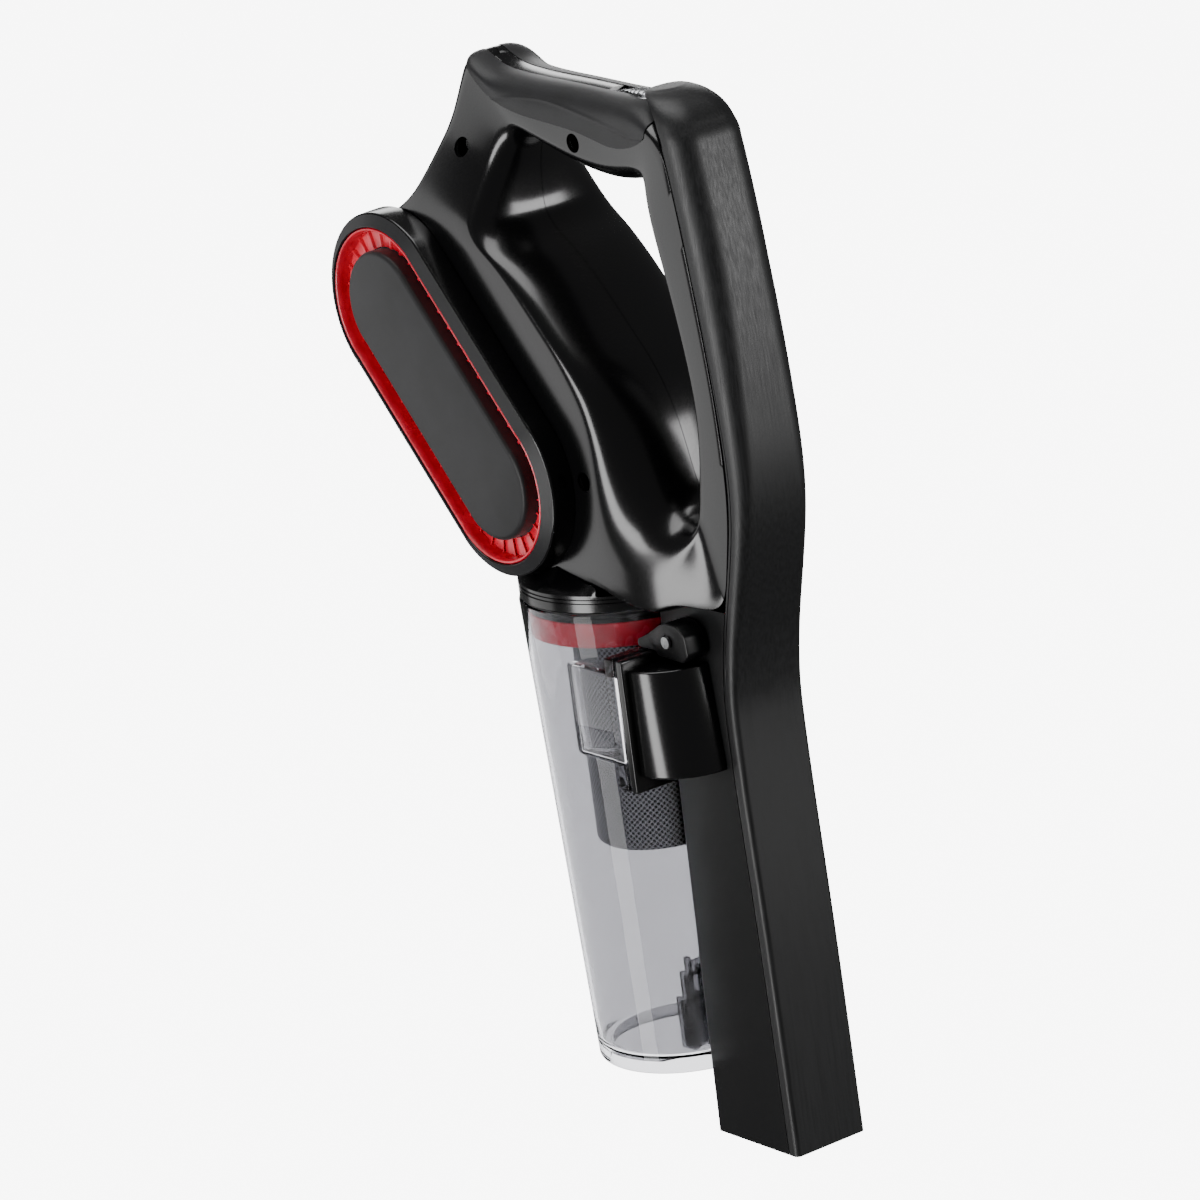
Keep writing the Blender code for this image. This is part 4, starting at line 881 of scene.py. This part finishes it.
def makeGripPad(name, sign, node):
    # A skin over the shoulder, from its curved lower edge up to the strip.
    # Each section's line is cut where it crosses the edge curve and spread evenly from there.
    rows = gripRows(-0.014, 0.158, 190)
    edge = softened(curveThrough(padEdge["line"], 240), 6)
    edge = edge[np.argsort(edge[:, 0])]
    crease = softened(curveThrough(padEdge["crease"], 200), 6)
    columns = 56
    skins = []
    for grow in (body["padLift"], -body["padThick"]):
        x, s, length = padLine(rows, grow)
        points = placed(rows, x, s, length)
        above = points[..., 2] - np.interp(points[..., 1], edge[:, 0], edge[:, 1], left=520, right=520)
        first = np.argmax(above > 0, axis=1)
        fits = (above > 0).any(axis=1)
        before = np.maximum(first - 1, 0)
        r = np.arange(len(rows))
        rise = above[r, first] - above[r, before]
        start = before + np.where(rise > 1e-9, -above[r, before] / np.where(rise > 1e-9, rise, 1), 0)
        last = x.shape[1] - 1
        at = start[:, None] + (last - start)[:, None] * np.linspace(0, 1, columns)[None, :]
        low = np.clip(np.floor(at).astype(int), 0, last - 1)
        part = (at - low)[..., None]
        skin = points[r[:, None], low] * (1 - part) + points[r[:, None], low + 1] * part
        skins.append((skin, fits & (start < last - 3)))
    keep = skins[0][1] & skins[1][1]
    outer, inner = skins[0][0][keep], skins[1][0][keep]
    near = np.interp(outer[..., 1], crease[:, 0], crease[:, 1])
    lift = padEdge["creaseHeight"] * np.exp(-((outer[..., 2] - near) / padEdge["creaseWidth"]) ** 2)
    outer[..., 0] += lift
    rings = np.concatenate([outer, inner[:, ::-1]], axis=1) * (sign, 1, 1)
    pad = meshObject(name, [loft(rings)], "charcoal_soft_touch", 45)
    return settle(pad, "housing", node)


def makeGripStrip():
    # The bright strip on the grip's crown, from the front corner to the switch.
    rows = gripRows(0.036, 0.137, 130)
    rows = rows[rows[:, 2] < switchLow[1] - 0.4]
    length = np.hypot(rows[:, 2] - rows[:, 0], rows[:, 3] - rows[:, 1])[:, None]
    half = body["strip"]
    x = half * np.array([-1, -0.97, -0.9, -0.6, -0.3, 0, 0.3, 0.6, 0.9, 0.97, 1.0])[None, :]
    crown = length + 0.55 * (1 - (x / half) ** 2) - np.where(np.abs(x) > 0.98 * half, 0.35, 0.0)
    top = placed(rows, x + 0 * length, crown, length)
    under = placed(rows, x[:, ::-1] + 0 * length, length - wall + 0 * x, length)
    strip = loft(np.concatenate([top, under], axis=1))
    strip = meshObject("gripTopStrip", [strip], "gloss_black_abs", 45)
    return settle(strip, "housing", "grip_top_strip")


switch = {"rim": 3.0, "rise": 0.9, "dome": 1.5, "ribs": 6, "ribHeight": 0.32, "ribbed": 0.38}


def makeSwitch():
    # Oval bezel with a rounded bright rim. The slider's outline is an ellipse, with a cosine for its ribs.
    half, front, back = switchHigh[0], switchLow[1], switchHigh[1]
    low, high = switchLow[2], switchHigh[2]
    knobLow, knobHigh = nodeBox("power_switch")
    rim = min(switch["rim"], half - knobHigh[0] - gap)    # leaves the slider its clearance
    turn = np.linspace(0, math.pi, 13)
    inset = np.concatenate([[0], rim / 2 * (1 - np.cos(turn)), [rim]])
    rise = np.concatenate([[low], high - switch["rise"] * (1 - np.sin(turn)), [low]])
    rings = [ovalRing(half - i, front + i, back - i, z) for i, z in zip(inset, rise)]
    bezel = meshObject("switchBezel", [loft(rings, True)], "bright_chrome", 45)
    settle(bezel, "housing", "switch_bezel")
    width = knobHigh[0]
    y = np.linspace(knobLow[1], knobHigh[1], 61)
    across = np.linspace(-1, 1, 25)
    share = (y - y[0]) / (y[-1] - y[0])
    crown = np.sqrt(np.clip(1 - (2 * share - 1) ** 2, 0, 1))
    ribs = switch["ribHeight"] * np.cos(share * 2 * math.pi * switch["ribs"])
    ribs = ribs * (np.abs(share - 0.5) < switch["ribbed"])
    base = knobHigh[2] - 1.9
    dome = np.sqrt(np.clip(1 - across[None, :] ** 2 * 0.8, 0, 1))
    z = base + crown[:, None] * switch["dome"] * dome + ribs[:, None]
    x = width * crown[:, None] * across[None, :]
    top = np.stack([x, y[:, None] + 0 * x, z], axis=-1)
    under = top[:, ::-1].copy()
    under[..., 2] = knobLow[2]
    slider = loft(np.concatenate([top, under], axis=1)[1:-1])
    slider = meshObject("powerSwitch", [slider], "bright_chrome", 45)
    return settle(slider, "switch", "power_switch")


# ---- motor pods

def pillLoop(radius, caps=56, sides=30):
    # The pill's outline as y, z: two half circles and two straight sides.
    end = 180 - pod["tilt"]
    upper = np.column_stack(pillPoint(radius, np.linspace(end - 90, end + 90, caps), 1))
    lower = np.column_stack(pillPoint(radius, np.linspace(end + 90, end + 270, caps), -1))
    t = np.linspace(0, 1, sides + 2)[1:-1, None]
    down, back = upper[-1] * (1 - t) + lower[0] * t, lower[-1] * (1 - t) + upper[0] * t
    return np.vstack([upper, down, lower, back])


def pillRings(profile, sign):
    rings = []
    for radius, x in profile:
        loop = pillLoop(max(radius, 0.05))
        rings.append(np.column_stack([np.full(len(loop), sign * x), loop]))
    return np.array(rings)


def makePod(side, sign):
    # Rim with a satin bevel, red vent ring with slanted fins, and the domed panel.
    base, top, ring, rim = pod["base"], pod["top"], pod["ring"], pod["rim"]
    out = ring + rim
    corners = [(out + 0.5, base), (out, top - 3.4), (out - 0.5, top - 2.9), (ring + 0.7, top),
               (ring + gap, top - 0.6), (ring + gap, base)]
    profile = roundedProfile(corners, 0.45, 4)
    points, faces = loft(pillRings(profile, sign), True)
    piece = meshObject("podRim" + side, [(points, faces)], "gloss_black_abs", 30)
    settle(piece, "housing", "pod_rim_" + side.lower())
    # the satin bevel lies on the rim's sloping face
    slope = [(out - 0.7, top - 2.72), (ring + 0.8, top + 0.06), (ring + 0.8, top - 0.3),
             (out - 0.7, top - 3.1)]
    bevel = loft(pillRings(slope, sign), True)
    settle(meshObject("podBevel" + side, [bevel], "charcoal_soft_touch", 30), "housing")
    floor = base + 3.9
    lip = [(ring, floor), (ring, top - 0.7), (ring - 0.5, top - 0.25), (ring - 1.3, top - 0.5),
           (ring - 1.9, top - 3), (ring - 2.3, floor + 3), (pod["panel"] + gap, floor + 3),
           (pod["panel"] + gap, floor)]
    solids = [loft(pillRings(roundedProfile(lip, 0.4, 3), sign), True)]
    solids += finSolids(floor + 2.5, top - 6.2, sign)
    vent = meshObject("ventRing" + side, solids, "red_translucent_pc", 30)
    settle(vent, "housing", "vent_ring_" + side.lower())
    crown = panelHigh[0]
    r = pod["panel"]
    turn = np.linspace(0, math.pi / 2, 8)
    panel = [(r, floor), (r, crown - 3.4)]
    panel += [(r - 2.4 * (1 - math.cos(a)), crown - 3.4 + 2.3 * math.sin(a)) for a in turn]
    panel += [(r * f, crown - 1.1 + 1.1 * (1 - (f / 0.9) ** 2))
              for f in (0.86, 0.75, 0.6, 0.45, 0.3, 0.15, 0.02)]
    cover = meshObject("podPanel" + side, [loft(pillRings(panel, sign))], "charcoal_soft_touch", 45)
    settle(cover, "housing", "pod_panel_" + side.lower())


def finSolids(low, high, sign):
    # Thin plates across the vent, each leaning along the ring; eight corners and six faces apiece.
    inner, outer = pillLoop(pod["panel"] + 0.6, 400, 300), pillLoop(pod["ring"] - 1.6, 400, 300)
    length = np.concatenate([[0], np.cumsum(np.hypot(*np.diff(outer, axis=0).T))])
    at = np.linspace(0, length[-1], pod["fins"], endpoint=False)

    def spread(curve, place):
        return np.column_stack([np.interp(place % length[-1], length, curve[:, i]) for i in (0, 1)])

    lean = (high - low) * pod["finSlant"]
    corners = []
    for x, shift in ((low, 0), (high, lean)):
        for curve, thick in ((inner, 0), (outer, 0), (outer, pod["finThick"]), (inner, pod["finThick"])):
            yz = spread(curve, at + shift + thick)
            corners.append(np.column_stack([np.full(len(at), sign * x), yz]))
    corners = np.stack(corners, axis=1)
    faces = [[0, 1, 2, 3], [7, 6, 5, 4], [0, 4, 5, 1], [1, 5, 6, 2], [2, 6, 7, 3], [3, 7, 4, 0]]
    return [(fin, faces) for fin in corners]


# ---- neck collar and latch

neck = {"radius": 50.0, "flat": 260.2, "intake": 24.0, "groove": 0.7, "shoulder": 268.6}


def makeNeckCollar():
    # A ring over the cup; its wall rises to the body at the sides and to the hull in front.
    low = nodeBox("neck_collar")[0][2]
    angle = np.arange(240) * 2 * math.pi / 240
    c, s = np.cos(angle), np.sin(angle)
    side = body["motor"] + gap
    across = np.maximum(np.abs(c), 0.01)
    beside = (np.abs(c) * neck["radius"] > side - 0.8) & (s < 0.6)
    front = ~beside & (s < 0)
    tilt = math.radians(pod["tilt"])
    capY = pod["centre"][0] + pod["half"] * math.sin(tilt)
    capZ = pod["centre"][1] - pod["half"] * math.cos(tilt)

    def underPill(y, r):
        return capZ - np.sqrt(np.maximum(r ** 2 - (y - capY) ** 2, 0))

    def ring(radius, z):
        z = np.broadcast_to(z, c.shape)
        return np.column_stack([radius * c, cup["axisY"] + radius * s, z])

    yOut = cup["axisY"] + neck["radius"] * s
    wallTop = np.where(beside, low + 8.2, neck["flat"])
    wallTop = np.where(front, underPill(yOut, pod["ring"] + pod["shell"]) - 0.6, wallTop)
    reach = neck["radius"] - 0.8
    reach = np.where(beside, np.minimum((side + 0.4) / across, reach), reach)
    yIn = cup["axisY"] + reach * s
    shoulder = underPill(yIn, pod["ring"] + pod["rim"] + 0.5) - 0.6
    shoulder = np.minimum(neck["shoulder"] - 0.2 * (yIn + 66), shoulder)
    shoulder = np.where(beside, np.maximum(shoulder, wallTop), wallTop)
    r, deep = neck["radius"], neck["groove"]
    inner = r - 3.2
    rings = [ring(r - 0.5, low), ring(r, low + 0.5)]
    for start in (4.3, 6.1):
        rings += [ring(r - d, low + start + up) for d, up in ((0, 0), (deep, 0.2), (deep, 0.7), (0, 0.9))]
    rings += [ring(r, np.maximum(wallTop, low + 7.2)), ring(reach, shoulder),
              ring(np.minimum(reach, inner), shoulder - 2.4), ring(inner, low + 4),
              ring(inner, low + 2.2), ring(neck["intake"], low + 2.2), ring(neck["intake"], low)]
    collar = meshObject("neckCollar", [loft(np.array(rings), True)], "gloss_black_abs", 35)
    return settle(collar, "housing", "neck_collar")


latch = {"back": [(-10.3, 235.6), (8, 235), (12, 238.5), (11, 247.5), (6, 251.8), (-2, 252.2),
                  (-8, 250), (-17, 244.6)],
         "round": 1.6, "eye": 1.7, "dish": 3.6, "dishDepth": 0.7}


def makeLatch():
    # Lever on the spine's side: its outline, rounded, carried across its width, with a bored eye.
    low, high = nodeBox("cup_latch")
    pin = nodeBox("latch_pin")
    centre = (pin[0][1:] + pin[1][1:]) / 2
    rest, nose = portFlange["high"] + gap + 0.2, low[1]
    side = [(nose, rest), (-12, rest), *latch["back"], (nose, rest + 3.2)]
    outline = roundedProfile(side, latch["round"], 6)
    middle = outline.mean(axis=0)
    rings = []
    for inset, x in ((0.7, low[0]), (0.2, low[0] + 0.3), (0, low[0] + 0.9),
                     (0, high[0] - 0.9), (0.2, high[0] - 0.3), (0.7, high[0])):
        away = outline - middle
        away = away / np.linalg.norm(away, axis=1)[:, None]
        rings.append(np.column_stack([np.full(len(outline), x), outline - away * inset]))
    lever = meshObject("cupLatch", [loft(rings)], "satin_black_abs")
    cutAway(lever, rodSolid(latch["eye"], low[0] - 2, high[0] + 2, *centre))
    cutAway(lever, rodSolid(latch["dish"], high[0] - latch["dishDepth"], high[0] + 2, *centre))
    smoothAgain(lever)
    settle(lever, "latch", "cup_latch")


# ---- stage, light and camera

def makeStage():
    # A pale floor that the object stands on, wide enough that no edge shows.
    look = {"size": 60.0, "colour": "#6a6a6a", "glow": 8.0}
    mesh = bpy.data.meshes.new("floor")
    h = look["size"]
    mesh.from_pydata([(-h, -h, 0), (h, -h, 0), (h, h, 0), (-h, h, 0)], [], [(0, 1, 2, 3)])
    floor = bpy.data.objects.new("floor", mesh)
    bpy.context.collection.objects.link(floor)
    floor.location.z = cadLow.z - 0.0004
    made = startMaterial("paleFloor", {
        "Base Color": look["colour"], "Roughness": 0.9, "Specular IOR Level": 0.0,
        "Emission Color": "#ffffff", "Emission Strength": look["glow"]})[0]
    mesh.materials.append(made)
    floor.visible_glossy = floor.visible_diffuse = floor.visible_shadow = False


def addSoftbox(name, place, target, size, power):
    # A rectangular area light at a place, aimed at a target.
    data = bpy.data.lights.new(name, "AREA")
    data.shape, data.size, data.size_y, data.energy = "RECTANGLE", size[0], size[1], power
    lamp = bpy.data.objects.new(name, data)
    lamp.location = place
    lamp.rotation_euler = (Vector(target) - Vector(place)).to_track_quat("-Z", "Y").to_euler()
    bpy.context.collection.objects.link(lamp)
    return lamp


def makeLight():
    look = {"reflected": 0.12, "seen": 8.0}
    world = bpy.data.worlds.new("studio")
    bpy.context.scene.world = world
    world.use_nodes = True
    tree = world.node_tree
    back = tree.nodes["Background"]
    path = addNode(tree, "ShaderNodeLightPath")
    seen = addNode(tree, "ShaderNodeMath", {"operation": "MAXIMUM"},
                   {0: path.outputs["Is Camera Ray"], 1: path.outputs["Is Transmission Ray"]}).outputs[0]
    tree.links.new(rangeValue(tree, seen, look["reflected"], look["seen"]), back.inputs["Strength"])
    back.inputs["Color"].default_value = (1, 1, 1, 1)
    middle = (0.0, -0.04, 0.27)
    addSoftbox("side", (1.0, -1.5, 0.25), middle, (1.3, 1.3), 8)
    addSoftbox("key", (1.73, -0.02, 0.1), middle, (0.6, 1.8), 36)
    addSoftbox("spineTop", (-0.9, 1.5, 0.5), middle, (0.8, 0.8), 22)
    addSoftbox("crown", (-1.0, -1.5, 0.95), middle, (1.0, 0.5), 7)
    addSoftbox("top", (0.1, -0.2, 1.9), middle, (1.0, 1.4), 22)


def makeCamera():
    # The viewing direction, and how far the camera rolls about it.
    shot = {"place": (1.521, 2.057, 1.008), "right": (-0.7882, 0.6023, -0.1265),
            "down": (0.2679, 0.1507, -0.9516), "back": (0.5540, 0.7839, 0.2801),
            "lens": 180.0, "sensor": 36.0}
    data = bpy.data.cameras.new("camera")
    data.lens, data.sensor_width = shot["lens"], shot["sensor"]
    camera = bpy.data.objects.new("camera", data)
    axes = Matrix([shot["right"], [-c for c in shot["down"]], shot["back"]]).transposed()
    camera.matrix_world = Matrix.Translation(shot["place"]) @ axes.to_4x4()
    bpy.context.collection.objects.link(camera)
    bpy.context.scene.camera = camera


dressFrameNodes()
print("frame nodes dressed")
makeBackCover()
makeFrontChannel()
makeElbow()
print("spine and elbow made")
makeDustCup()
makeCupFittings()
makeMeshSleeve()
print("cup and filter made")
makeShell("shellLeft", 1, "shell_left")
makeShell("shellRight", -1, "shell_right")
makeScrews()
makeGripPad("gripPadLeft", 1, "grip_pad_left")
makeGripPad("gripPadRight", -1, "grip_pad_right")
makeGripStrip()
makeSwitch()
print("body and grip made")
makePod("Left", 1)
makePod("Right", -1)
makeNeckCollar()
makeLatch()
print("pods, collar and latch made")
makeStage()
makeLight()
makeCamera()
